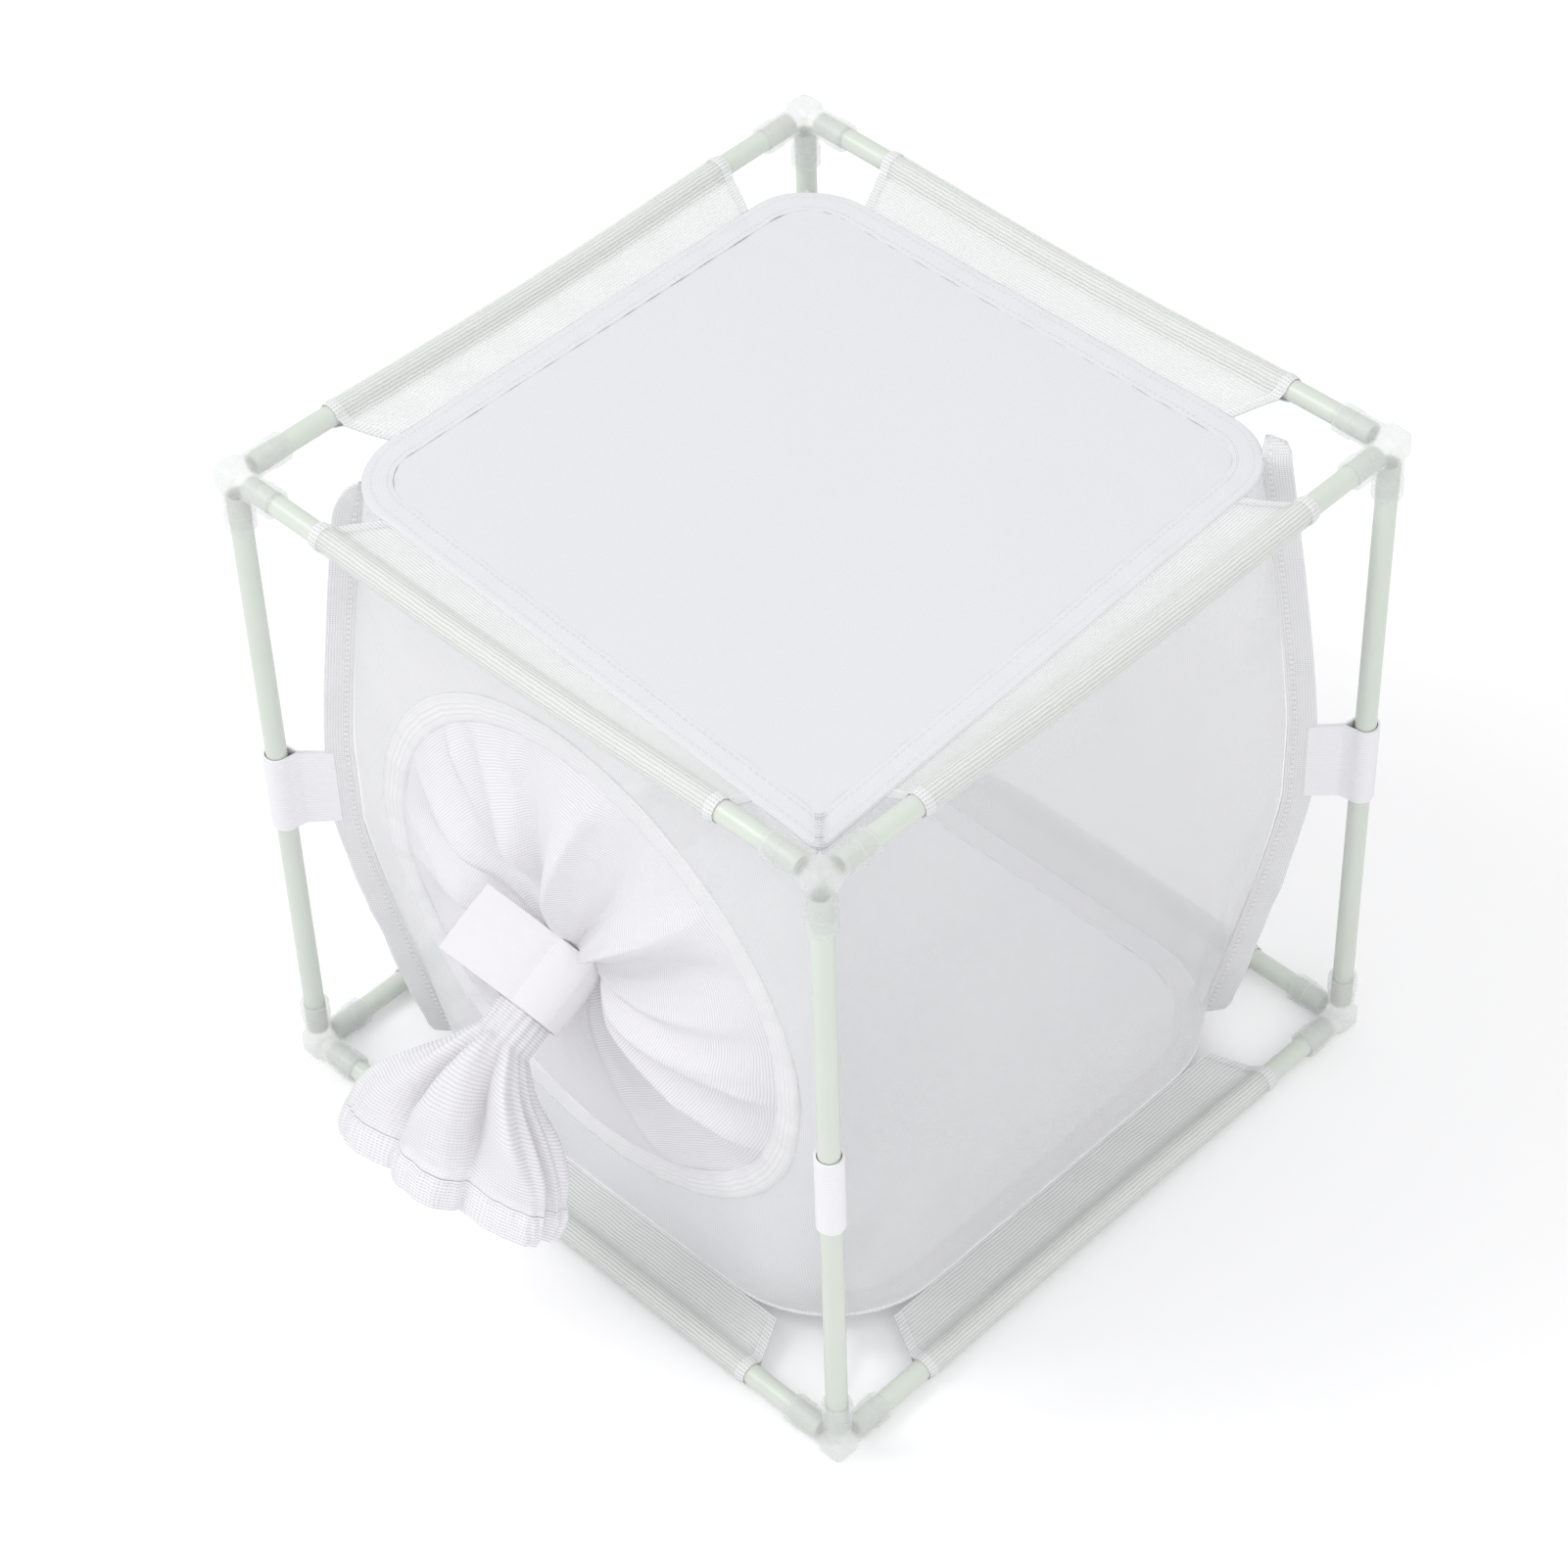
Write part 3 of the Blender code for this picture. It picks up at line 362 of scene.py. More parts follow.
def bow(position, depth):
    """How far a rod has bent at a place along it."""
    free = 2 * (HALF_SPAN - SOCKET_REACH)
    share = (position + free / 2) / free
    if share <= 0.0 or share >= 1.0:
        return 0.0
    return 16 * depth * share ** 2 * (1 - share) ** 2


rod_plastic = plastic("rod_plastic", (35.0, 1100.0), ((0.655, 0.715, 0.64), (0.71, 0.76, 0.695)),
                      (1.0, 1.0), (0.26, 0.42), "Grain", 0.00004, Coat_Weight=0.2,
                      Coat_Roughness=0.2)


def tube(name, length, steps):
    """A tube with its wall inside, from a circle that is extruded in equal steps."""
    stations = [(-length / 2 + length * k / steps, ROD_RADIUS) for k in range(steps + 1)]
    piece = extruded_round(name, stations, ROD_SIDES, filled=False)
    apply_modifier(piece, "SOLIDIFY", thickness=ROD_WALL, offset=-1.0)
    ease_edges(piece, 0.0002, 60)
    shade(piece, 40, rod_plastic)
    return piece


for level_name, level, depth in (("bottom", BOTTOM_LEVEL, BOTTOM_RISE),
                                 ("top", TOP_LEVEL, -TOP_SAG)):
    rod = tube("rod", 2 * (HALF_SPAN - ROD_INSET), 36)
    rod.data.transform(Matrix.Rotation(math.pi / 2, 4, "Y"))
    for vertex in rod.data.vertices:
        vertex.co += Vector((0, -HALF_SPAN, level + bow(vertex.co.x, depth)))
    for index, side in enumerate(SIDES):
        piece = copy_of(rod, f"tube_{level_name}_{side}", quarter_turn(index))
        put_in_place(piece, "root", [f"rod_{level_name}_{side}"])
    bpy.data.objects.remove(rod)
upright = tube("upright", TOP_LEVEL - BOTTOM_LEVEL - 2 * ROD_INSET, 4)
upright.data.transform(Matrix.Translation((HALF_SPAN, -HALF_SPAN,
                                           (TOP_LEVEL + BOTTOM_LEVEL) / 2)))
for index, corner in enumerate(CORNERS):
    piece = copy_of(upright, f"upright_{corner}", quarter_turn(index))
    put_in_place(piece, "root", [f"post_{corner}"])
bpy.data.objects.remove(upright)


# Rod pockets: coarse ribbed mesh folded over each level rod and sewn shut beside it. The
# doubled strip goes on to the bag's edge; its slanted ends are hemmed.
BAG_HALF = 0.122
SEAM_DROP = 0.0040
TOP_RADIUS = 0.030
NEAR_RADIUS = 0.004         # the top's front right corner is pulled nearly to a point
NEAR_PULL = 0.0120          # and this far outwards, along both axes
POCKET_HALF = 0.1000        # along the rod
POCKET_SEAM_HALF = 0.0910   # along the bag's seam
POCKET_RADIUS = 0.0049
POCKET_CLOTH = 0.0004
LAYER_GAP = 0.0009
POCKET_HEM = 0.0042
HEM_SWELL = 0.00022         # how far the doubled hem stands out


def cloth_grid(name, columns, rows, spot):
    """A grid of cloth. spot(column, row) gives a corner's point and its place when flat."""
    bpy.ops.object.select_all(action="DESELECT")
    bpy.ops.mesh.primitive_grid_add(x_subdivisions=columns, y_subdivisions=rows, size=1.0)
    piece = bpy.context.object
    piece.name = name
    spots = [spot(round((vertex.co.x + 0.5) * columns), round((vertex.co.y + 0.5) * rows))
             for vertex in piece.data.vertices]
    for vertex, (point, flat) in zip(piece.data.vertices, spots):
        vertex.co = point
    flat_map = piece.data.uv_layers.active.data
    for loop in piece.data.loops:
        flat_map[loop.index].uv = spots[loop.vertex_index][1]
    return piece


def sew_shut(piece):
    """Joins the edges of a grid that has been brought round to meet itself."""
    select_only(piece)
    bpy.ops.object.mode_set(mode="EDIT")
    bpy.ops.mesh.select_all(action="SELECT")
    bpy.ops.mesh.remove_doubles(threshold=0.000002)
    bpy.ops.mesh.normals_make_consistent(inside=False)
    bpy.ops.object.mode_set(mode="OBJECT")


def cloth_piece(name, columns, rows, spot, thickness, material, turn=None, closed=False):
    """A grid of cloth with its thickness; closed where it comes round to meet itself."""
    piece = cloth_grid(name, columns, rows, spot)
    if turn is not None:
        piece.data.transform(turn)
    if closed:
        sew_shut(piece)
    apply_modifier(piece, "SOLIDIFY", thickness=thickness, offset=0.0)
    shade(piece, 70, material)
    return piece


def running_lengths(points):
    """The distance along a line of points to each of them."""
    lengths = [0.0]
    for before, after in zip(points, points[1:]):
        lengths.append(lengths[-1] + (Vector(after) - Vector(before)).length)
    return lengths


def near_share(distance):
    """How far along a side of the top a place is, from its far corner to the pulled one."""
    start = TOP_RADIUS - BAG_HALF
    return min(1.0, max(0.0, (distance - start) / (BAG_HALF - NEAR_RADIUS - start)))


def drawn_out(point, near):
    """A point of a side of the top, moved with the pulled corner, at its end 1 or -1."""
    shift = abs(near) * NEAR_PULL * near_share(point[0] * near)
    return Vector((point[0] + near * shift, point[1] - shift))


def fold_round_rod(centre, tip, radius, mouth):
    """Cloth in section: from the tip to the rod, round it and back to the tip."""
    to_tip = Vector(tip) - Vector(centre)
    heading = math.atan2(to_tip.y, to_tip.x)
    out = to_tip.normalized()
    side = Vector((-out.y, out.x))
    meet = radius / math.cos(mouth)
    length = to_tip.length
    run = [length + (meet + 0.0012 - length) * k / 10 for k in range(11)]
    layer = [Vector(centre) + out * d + side * LAYER_GAP / 2 for d in run]
    turn = (math.tau - 2 * mouth) / 28
    arc = [Vector(centre) + Vector((math.cos(heading + mouth + turn * k),
                                    math.sin(heading + mouth + turn * k))) * radius
           for k in range(29)]
    other = [Vector(centre) + out * d - side * LAYER_GAP / 2 for d in reversed(run)]
    return layer + arc + other


# Knitted mesh: ribs one way and thinner cross threads the other, with open holes between.
knit, given, result = effect_group(
    "knitted_mesh", [("Rib Pitch", 0.0013), ("Cross Pitch", 0.0009), ("Cross Weight", 0.6)],
    ["Thread", "Rib"])
along_across = add_node(knit, "SeparateXYZ", i0=given.outputs["Vector"])
unevenness = add_node(knit, "TexNoise", Vector=given.outputs["Vector"], Scale=160.0,
                      Detail=1.0)
waves = []
for axis_output, pitch_name in ((1, "Rib Pitch"), (0, "Cross Pitch")):
    wandering = math_node(knit, "MULTIPLY_ADD", unevenness.outputs[0], 0.0006,
                          along_across.outputs[axis_output])
    turns = math_node(knit, "DIVIDE", wandering, given.outputs[pitch_name])
    angle = math_node(knit, "MULTIPLY", turns, math.pi)
    waves.append(math_node(knit, "ABSOLUTE", math_node(knit, "SINE", angle)))
cross = math_node(knit, "MULTIPLY", waves[1], given.outputs["Cross Weight"])
knit.links.new(math_node(knit, "MAXIMUM", waves[0], cross), result.inputs["Thread"])
knit.links.new(waves[0], result.inputs["Rib"])

# A row of machine stitches along the cloth, at one distance across it.
stitches, given, result = effect_group(
    "stitches", [("Row", 0.002), ("Half Width", 0.0003), ("Pitch", 0.0026)], ["Stitch"])
along_across = add_node(stitches, "SeparateXYZ", i0=given.outputs["Vector"])
on_row = math_node(stitches, "COMPARE", along_across.outputs[1], given.outputs["Row"],
                   given.outputs["Half Width"])
turns = math_node(stitches, "DIVIDE", along_across.outputs[0], given.outputs["Pitch"])
thread = math_node(stitches, "LESS_THAN", math_node(stitches, "FRACT", turns), 0.62)
stitches.links.new(math_node(stitches, "MULTIPLY", on_row, thread), result.inputs["Stitch"])


def sewn_cloth(name, colors, roughness, alphas, threads, rows=(), bump=0.0002, sheen=0.15):
    """Knitted cloth: dark and light colour, alpha in a hole and on a thread, the pitch of the
    ribs and of the cross threads and how thick these are, and where the stitch rows lie."""
    material, tree, surface = finish(name, Sheen_Weight=sheen, Sheen_Roughness=0.5,
                                     Specular_IOR_Level=0.3)
    flat = tree.nodes.new("ShaderNodeTexCoord").outputs["UV"]
    pattern = place_group(tree, knit, flat, Rib_Pitch=threads[0], Cross_Pitch=threads[1],
                          Cross_Weight=threads[2])
    color = mixed(tree, pattern["Rib"], *colors)
    height = pattern["Thread"]
    alpha = between(tree, pattern["Thread"], *alphas)
    for row in rows:
        stitch = place_group(tree, stitches, flat, Row=row)["Stitch"]
        color = mixed(tree, stitch, color, tuple(c * 0.93 for c in colors[1]))
        height = math_node(tree, "ADD", height, stitch)
        alpha = math_node(tree, "MAXIMUM", alpha, stitch)
    tree.links.new(color, surface.inputs["Base Color"])
    if alphas[0] < 1.0:
        tree.links.new(alpha, surface.inputs["Alpha"])
    tree.links.new(between(tree, pattern["Rib"], roughness + 0.06, roughness - 0.06),
                   surface.inputs["Roughness"])
    raise_surface(tree, surface, height, bump)
    return material


pocket_cloth = sewn_cloth("pocket_mesh", ((0.91, 0.93, 0.92), (0.96, 0.97, 0.965)), 0.62,
                          (0.10, 0.56), (0.0014, 0.0012, 0.75), bump=0.00012)
pocket_hem_cloth = sewn_cloth("pocket_hem", ((0.90, 0.91, 0.915), (0.95, 0.955, 0.96)), 0.65,
                              (0.40, 0.80), (0.0014, 0.0012, 0.8), bump=0.00012)


def pocket_ends(steps):
    """Stations along the rod as shares from -1 to 1, close together in the hems."""
    hem = POCKET_HEM / POCKET_HALF
    inner = [-1 + hem + (2 - 2 * hem) * k / steps for k in range(1, steps)]
    edge = [0.0, 0.12, 0.5, 0.88, 0.98, 1.0]
    return ([-1 + hem * e for e in edge] + inner + [1 - hem * e for e in reversed(edge)])


top_pocket = ("top", TOP_LEVEL, -TOP_SAG, TOP_LEVEL - SEAM_DROP)
for level_name, level, depth, seam_level, near, sides in (
        ("bottom", BOTTOM_LEVEL, BOTTOM_RISE, BOTTOM_LEVEL + SEAM_DROP, 0, SIDES),
        (*top_pocket, 0, ("back", "left")), (*top_pocket, 1, ("front",)),
        (*top_pocket, -1, ("right",))):
    stations = pocket_ends(40)
    section = fold_round_rod((-HALF_SPAN, level), (-BAG_HALF - 0.0003, seam_level),
                             POCKET_RADIUS, math.radians(32))
    across = running_lengths(section)
    columns, rows = len(section) - 1, len(stations) - 1

    def pocket_spot(column, row):
        share = stations[row]
        bent = bow(share * POCKET_HALF, depth)
        point = section[column]
        from_rod = min(1.0, max(0.0, (point.x + HALF_SPAN - POCKET_RADIUS)
                                / (HALF_SPAN - BAG_HALF - POCKET_RADIUS)))
        x = share * (POCKET_HALF + (POCKET_SEAM_HALF - POCKET_HALF) * from_rod)
        pulled = drawn_out((share * POCKET_SEAM_HALF, 0), near) * from_rod
        x += pulled.x - share * POCKET_SEAM_HALF * from_rod
        in_hem = 1 - abs(share) < POCKET_HEM / POCKET_HALF * 0.95
        outward = (point - Vector((-HALF_SPAN, level))).normalized()
        ruffle = max(0.0, 1 - (1 - abs(share)) * POCKET_HALF / 0.0022)
        swell = outward * ((HEM_SWELL if in_hem and from_rod == 0.0 else 0.0)
                           + ruffle * (0.00012 * math.sin(2.1 * column) - 0.00048)
                           * (1 - from_rod))
        spread = HEM_SWELL if in_hem else 0.0
        upper = 1 if column < columns / 2 else -1
        ripple = 0.0005 * math.sin(share * 23) * math.sin(math.pi * from_rod)
        lift = (upper * -spread if from_rod > 0 else 0.0) + ripple
        return (Vector((x, point.x + swell.x + pulled.y,
                        point.y + swell.y + bent * (1 - from_rod) + lift)),
                (share * POCKET_HALF + POCKET_HALF, across[column]))

    pocket = cloth_piece("pocket", columns, rows, pocket_spot, POCKET_CLOTH, pocket_cloth)
    pocket.data.materials.append(pocket_hem_cloth)
    for face in pocket.data.polygons:
        middle = sum((pocket.data.uv_layers.active.data[i].uv.x for i in face.loop_indices),
                     0.0) / face.loop_total
        if abs(middle - POCKET_HALF) > POCKET_HALF - POCKET_HEM:
            face.material_index = 1
    for side in sides:
        piece = copy_of(pocket, f"rod_pocket_{level_name}_{side}",
                        quarter_turn(SIDES.index(side)))
        put_in_place(piece, "root", [f"pocket_{level_name}_{side}"])
    bpy.data.objects.remove(pocket)


# Bag: four walls that the post loops pull out at mid height. The walls are cut square and
# sewn up the corners; above and below the loops the corners fall back in soft curves.
LOOP_LEVEL = 0.1499
LOOP_LENGTH = 0.037
BOTTOM_RADIUS = 0.054
TAUT_CORNER = HALF_SPAN - 0.0205
PULL_FADE = 1.2
WALL_HALF = 0.1216
WALL_BOTTOM = 0.0110
WALL_TOP = 0.3008
WALL_CLOTH = 0.0004
TAPE_ROOM = 0.0010          # the wall stops this far short of the tape's middle


def pull(z):
    """How far the loops pull the corner out at a level: 1 at the loops, 0 at the seams."""
    away = abs(z - LOOP_LEVEL) - LOOP_LENGTH / 2
    if away <= 0:
        return 1.0
    room = WALL_TOP - LOOP_LEVEL if z > LOOP_LEVEL else LOOP_LEVEL - WALL_BOTTOM
    return max(0.0, 1.0 - (away / (room - LOOP_LENGTH / 2)) ** PULL_FADE)


def rounded(share, half, radius):
    """A point of a rounded square's front edge; share runs from -1 to 1, corner to corner."""
    straight = half - radius
    along = abs(share) * (straight + radius * math.pi / 4)
    if along <= straight:
        x, y = along, -half
    else:
        turn = (along - straight) / radius
        x = straight + radius * math.sin(turn)
        y = -(half - radius * (1 - math.cos(turn)))
    return Vector((math.copysign(x, share), y))


def wall_plan(share, z, near=0):
    """A wall in plan at a level. near is its end, 1 or -1, at the pulled-out top corner."""
    radius = TOP_RADIUS if z > LOOP_LEVEL else BOTTOM_RADIUS
    if z > LOOP_LEVEL and share * near > 0:
        radius = NEAR_RADIUS
    slack = rounded(share, WALL_HALF, radius)
    if z > LOOP_LEVEL:
        slack = drawn_out(slack, near)
    taut = Vector((share * TAUT_CORNER,
                   -(WALL_HALF + (TAUT_CORNER - WALL_HALF) * share ** 2)))
    return slack.lerp(taut, pull(z))


def halve(low, high, is_low):
    for _ in range(24):
        middle = (low + high) / 2
        if is_low(middle):
            low = middle
        else:
            high = middle
    return low


def wall_end(z, near=0):
    """The share at which a wall's right end stops, just short of the corner tape's middle."""
    return halve(0.5, 1.0, lambda share: -wall_plan(share, z, near).y
                 - wall_plan(share, z, near).x > TAPE_ROOM * math.sqrt(2))


def wall_depth(x, z):
    """The front wall's Y at a place on it. Its right end meets the pulled-out corner."""
    share = halve(-1.0, 1.0, lambda s: wall_plan(s, z, 1).x < x)
    return wall_plan(share, z, 1).y


def creases(share, z):
    """Small pull lines that fan from the loops, and slack ripples near the seams."""
    edge = max(0.0, abs(share) - 0.55) / 0.45
    height = (z - LOOP_LEVEL) / (WALL_TOP - WALL_BOTTOM)
    fan = math.sin(38 * height * (1.5 - edge) + 5 * share) * edge ** 1.5 * (1 - edge ** 6)
    slack = math.sin(19 * share + 6 * height) * math.sin(8 * height + 2)
    return 0.0009 * fan + 0.0005 * slack * (1 - edge)


fine_mesh = sewn_cloth("fine_mesh", ((0.92, 0.92, 0.945), (0.965, 0.965, 0.98)), 0.60,
                       (0.16, 0.46), (0.0010, 0.0010, 1.0), bump=0.00005)

# The clear window is a soft film: nearly see-through, with a faint haze and gentle waves.
window_film = plastic("window_film", (9.0, 300.0), ((0.90, 0.90, 0.92), (0.95, 0.95, 0.96)),
                      (0.14, 0.24), (0.10, 0.24), "Cloud", 0.002, 0.5, Coat_Weight=0.3,
                      Coat_Roughness=0.1)

WALL_COLUMNS, WALL_ROWS = 84, 96
row_levels = [WALL_BOTTOM + (WALL_TOP - WALL_BOTTOM) * k / WALL_ROWS
              for k in range(WALL_ROWS + 1)]
plain_ends = [wall_end(z) for z in row_levels]
near_ends = [wall_end(z, 1) for z in row_levels]


def wall_spot(column, row):
    z = row_levels[row]
    share = 2 * column / WALL_COLUMNS - 1
    share = math.copysign(1 - (1 - abs(share)) ** 1.4, share)
    share *= near_ends[row] if share * near > 0 else plain_ends[row]
    point = wall_plan(share, z, near)
    along = (wall_plan(share + 0.004, z, near)
             - wall_plan(share - 0.004, z, near)).normalized()
    held = min(1.0, 12 * min(row, WALL_ROWS - row) / WALL_ROWS)
    point += Vector((along.y, -along.x)) * creases(share, z) * held
    return Vector((*point, z)), (share * TAUT_CORNER + TAUT_CORNER, z)


for index, (wall_name, node_name, material, slot_name, near) in enumerate((
        ("window", "window_right", window_film, "window_film", -1),
        ("mesh_wall_back", "back_wall", fine_mesh, "fine_mesh", 0),
        ("mesh_wall_left", "left_wall", fine_mesh, "fine_mesh", 0)), start=1):
    wall = cloth_piece(wall_name, WALL_COLUMNS, WALL_ROWS, wall_spot, WALL_CLOTH, material,
                       turn=quarter_turn(index))
    put_in_place(wall, "root", [node_name])

# The front wall has the round port cut out of it, so its grid runs round the hole.
PORT_RADIUS = 0.1095
PORT_LEVEL = 0.1479
PORT_COLUMNS, PORT_ROWS = 216, 18
PORT_LAP = 0.003            # the wall's cut edge goes this far in under the binding
outline = []
for k in range(PORT_COLUMNS):
    a, b = math.cos(math.tau * k / PORT_COLUMNS), math.sin(math.tau * k / PORT_COLUMNS)

    def is_inside(reach):
        z, near = PORT_LEVEL + b * reach, 1 if a > 0 else 0
        return (WALL_BOTTOM <= z <= WALL_TOP
                and abs(a * reach) <= wall_plan(wall_end(z, near), z, near).x)
    reach = halve(PORT_RADIUS, 0.3, is_inside)
    outline.append([a * reach, PORT_LEVEL + b * reach])
for z in (WALL_BOTTOM, WALL_TOP):
    for x in (-wall_plan(wall_end(z), z).x, wall_plan(wall_end(z, 1), z, 1).x):
        nearest = min(outline, key=lambda p: (p[0] - x) ** 2 + (p[1] - z) ** 2)
        nearest[0], nearest[1] = x, z


def front_spot(column, row):
    angle = math.tau * column / PORT_COLUMNS
    share = row / PORT_ROWS
    hole = PORT_RADIUS - PORT_LAP
    edge = outline[column % PORT_COLUMNS]
    x = hole * math.cos(angle) * (1 - share) + edge[0] * share
    z = (PORT_LEVEL + hole * math.sin(angle)) * (1 - share) + edge[1] * share
    z = min(max(z, WALL_BOTTOM), WALL_TOP)
    y = wall_depth(x, z)
    across = x / TAUT_CORNER
    y -= creases(across, z) * math.sin(math.pi * share)
    return Vector((x, y, z)), (x + TAUT_CORNER, z)


front = cloth_piece("mesh_wall_front", PORT_COLUMNS, PORT_ROWS, front_spot, WALL_CLOTH,
                    fine_mesh, closed=True)
put_in_place(front, "root", ["front_wall"])


# Top and floor: panels of dense fine cloth, which look solid where the walls look sheer.
# Their edges go inside the binding, between its two layers. Both are one cloth: the top's
# colour is painted darker against the lamp above it, the floor's painted lighter against the
# shade under the top.
BAND_TOP = 0.3019
BAND_BOTTOM = 0.0099
PANEL_TUCK = 0.0012         # panel edge to the binding's fold
PANEL_STEPS = 64
PANEL_CLOTH = 0.0005
# Painted shade: the top cloth is darker than the same cloth on the floor.
top_cloth_painted_shade = sewn_cloth("top_fabric", ((0.735, 0.74, 0.775), (0.765, 0.77, 0.80)), 0.72,
                       (1.0, 1.0), (0.0008, 0.0008, 1.0), bump=0.00005, sheen=0.3)
# Painted light: the floor cloth is lighter, to lift the shade it lies in under the top.
floor_cloth_painted_light = sewn_cloth("floor_fabric_painted_light", ((0.93, 0.935, 0.95), (0.955, 0.96, 0.97)), 0.72,
                         (1.0, 1.0), (0.0008, 0.0008, 1.0), bump=0.00005, sheen=0.3)
for panel_name, node_name, level, radius, near_radius, sag, panel_cloth in (
        ("cloth_top", "top_panel", BAND_TOP, TOP_RADIUS, NEAR_RADIUS, 0.0016, top_cloth_painted_shade),
        ("cloth_floor", "floor_panel", BAND_BOTTOM, BOTTOM_RADIUS, BOTTOM_RADIUS, 0.0006,
         floor_cloth_painted_light)):
    half = BAG_HALF - PANEL_TUCK

    def panel_spot(column, row):
        a, b = 2 * column / PANEL_STEPS - 1, 2 * row / PANEL_STEPS - 1
        corner_radius = (near_radius if a > 0 > b else radius) - PANEL_TUCK
        reach = max(abs(a), abs(b))
        edge = 1.0
        if reach > 0:
            x, y = abs(a) / reach * half, abs(b) / reach * half
            inset_x, inset_y = x - (half - corner_radius), y - (half - corner_radius)
            if inset_x > 0 and inset_y > 0:
                edge = halve(0.5, 1.0, lambda s: math.hypot(
                    max(0.0, x * s - half + corner_radius),
                    max(0.0, y * s - half + corner_radius)) < corner_radius)
        x, y = a * half * edge, b * half * edge
        if level == BAND_TOP:
            shift = NEAR_PULL * near_share(x) * near_share(-y)
            x, y = x + shift, y - shift
        dip = sag * (1 - reach ** 2) ** 2 + 0.0003 * math.sin(31 * a * b) * (a * b) ** 2
        dip += 0.0003 * math.sin(7 * a + 4 * b) * (1 - reach ** 4)
        return Vector((x, y, level - dip)), (a * half * edge + half, b * half * edge + half)

    panel = cloth_piece(panel_name, PANEL_STEPS, PANEL_STEPS, panel_spot, PANEL_CLOTH,
                        panel_cloth)
    put_in_place(panel, "root", [node_name])


# Edge bindings: white mesh tape folded over the bag's top and bottom seams and sewn with
# two rows of stitches. The rod pockets are caught in the same seam. The top's tape is painted
# darker, like the top panel, and the bottom's painted lighter against the shade inside the cage.
BAND_WIDTH = 0.0110
BAND_GAP = 0.0016           # between the tape's two layers, over the seam inside
EDGE_GAP = 0.0009           # and at the tape's two edges
BAND_COLUMNS = 320
TAPE_CLOTH = 0.0004


def square_spot(turns, half, radii, inset):
    """A point round a square with its own radius at each corner; turns run from 0 to 1.

    A near radius at the first corner means the pulled-out one.
    """
    quarter = int(turns * 4) % 4
    share = (turns * 4 - int(turns * 4)) * 2 - 1
    radius = max(radii[quarter if share > 0 else quarter - 1] - inset, 0.002)
    bend = max(0.0, abs(share) - 0.8) / 0.2 * math.pi / 4
    x = (half - inset - radius) * min(1.0, abs(share) / 0.8) + radius * math.sin(bend)
    y = radius * (1 - math.cos(bend)) - half + inset
    near = (1, -1, 0, 0)[quarter] if radii[0] == NEAR_RADIUS else 0
    return quarter_turn(quarter).to_2x2() @ drawn_out((math.copysign(x, share), y), near)


def folded_tape(width, gap, edge_gap, steps=7):
    """The section of a tape folded over an edge: from inside the fold out and back."""
    radius = gap / 2
    top = [Vector((-width + (width - radius) * k / steps,
                   edge_gap / 2 + (gap - edge_gap) / 2 * (k / steps) ** 0.5))
           for k in range(steps)]
    bend = [Vector((-radius + radius * math.sin(angle), radius * math.cos(angle)))
            for angle in (math.pi * k / 6 for k in range(7))]
    below = [Vector((point.x, -point.y)) for point in reversed(top)]
    return top + bend + below


tape_section = folded_tape(BAND_WIDTH, BAND_GAP, EDGE_GAP)
tape_across = running_lengths(tape_section)
# Painted shade: the top binding is darker than the same tape at the bottom.
top_band_cloth_painted_shade = sewn_cloth("binding_tape_painted_shade", ((0.765, 0.77, 0.795), (0.80, 0.805, 0.825)), 0.66,
                        (0.90, 1.0), (0.0009, 0.0009, 1.0),
                        (0.0018, 0.0078, tape_across[-1] - 0.0018,
                         tape_across[-1] - 0.0078), 0.00007)
# Painted light: the bottom binding is lighter, to lift the shade it lies in.
floor_tape_painted_light = sewn_cloth("floor_tape_painted_light", ((0.90, 0.90, 0.92), (0.935, 0.935, 0.95)), 0.66,
                        (0.85, 1.0), (0.0009, 0.0009, 1.0), (0.0018, 0.0078), 0.00007)
for band_name, node_name, level, radii, tape_material in (
        ("bag_binding_top", "top_band", BAND_TOP, (NEAR_RADIUS,) + (TOP_RADIUS,) * 3,
         top_band_cloth_painted_shade),
        ("bag_binding_bottom", "floor_band", BAND_BOTTOM, (BOTTOM_RADIUS,) * 4,
         floor_tape_painted_light)):
    around = sum(2 * (BAG_HALF - radius) + math.pi / 2 * radius for radius in radii)

    def band_spot(column, row):
        turns = column / BAND_COLUMNS
        across, up = tape_section[row]
        point = square_spot(turns, BAG_HALF, radii, -across)
        inner = -across / BAND_WIDTH
        wave = math.tau * turns
        pucker = 0.00018 * math.sin(wave * 61 + 2 * math.sin(wave * 7)) * inner
        pucker += 0.00030 * math.sin(wave * 23 + 1 + 3 * math.sin(wave * 5)) * (1 - inner)
        return (Vector((*point, level + up + pucker)),
                (turns * around, tape_across[row]))

    band = cloth_piece(band_name, BAND_COLUMNS, len(tape_section) - 1, band_spot, TAPE_CLOTH,
                       tape_material, closed=True)
    put_in_place(band, "root", [node_name])


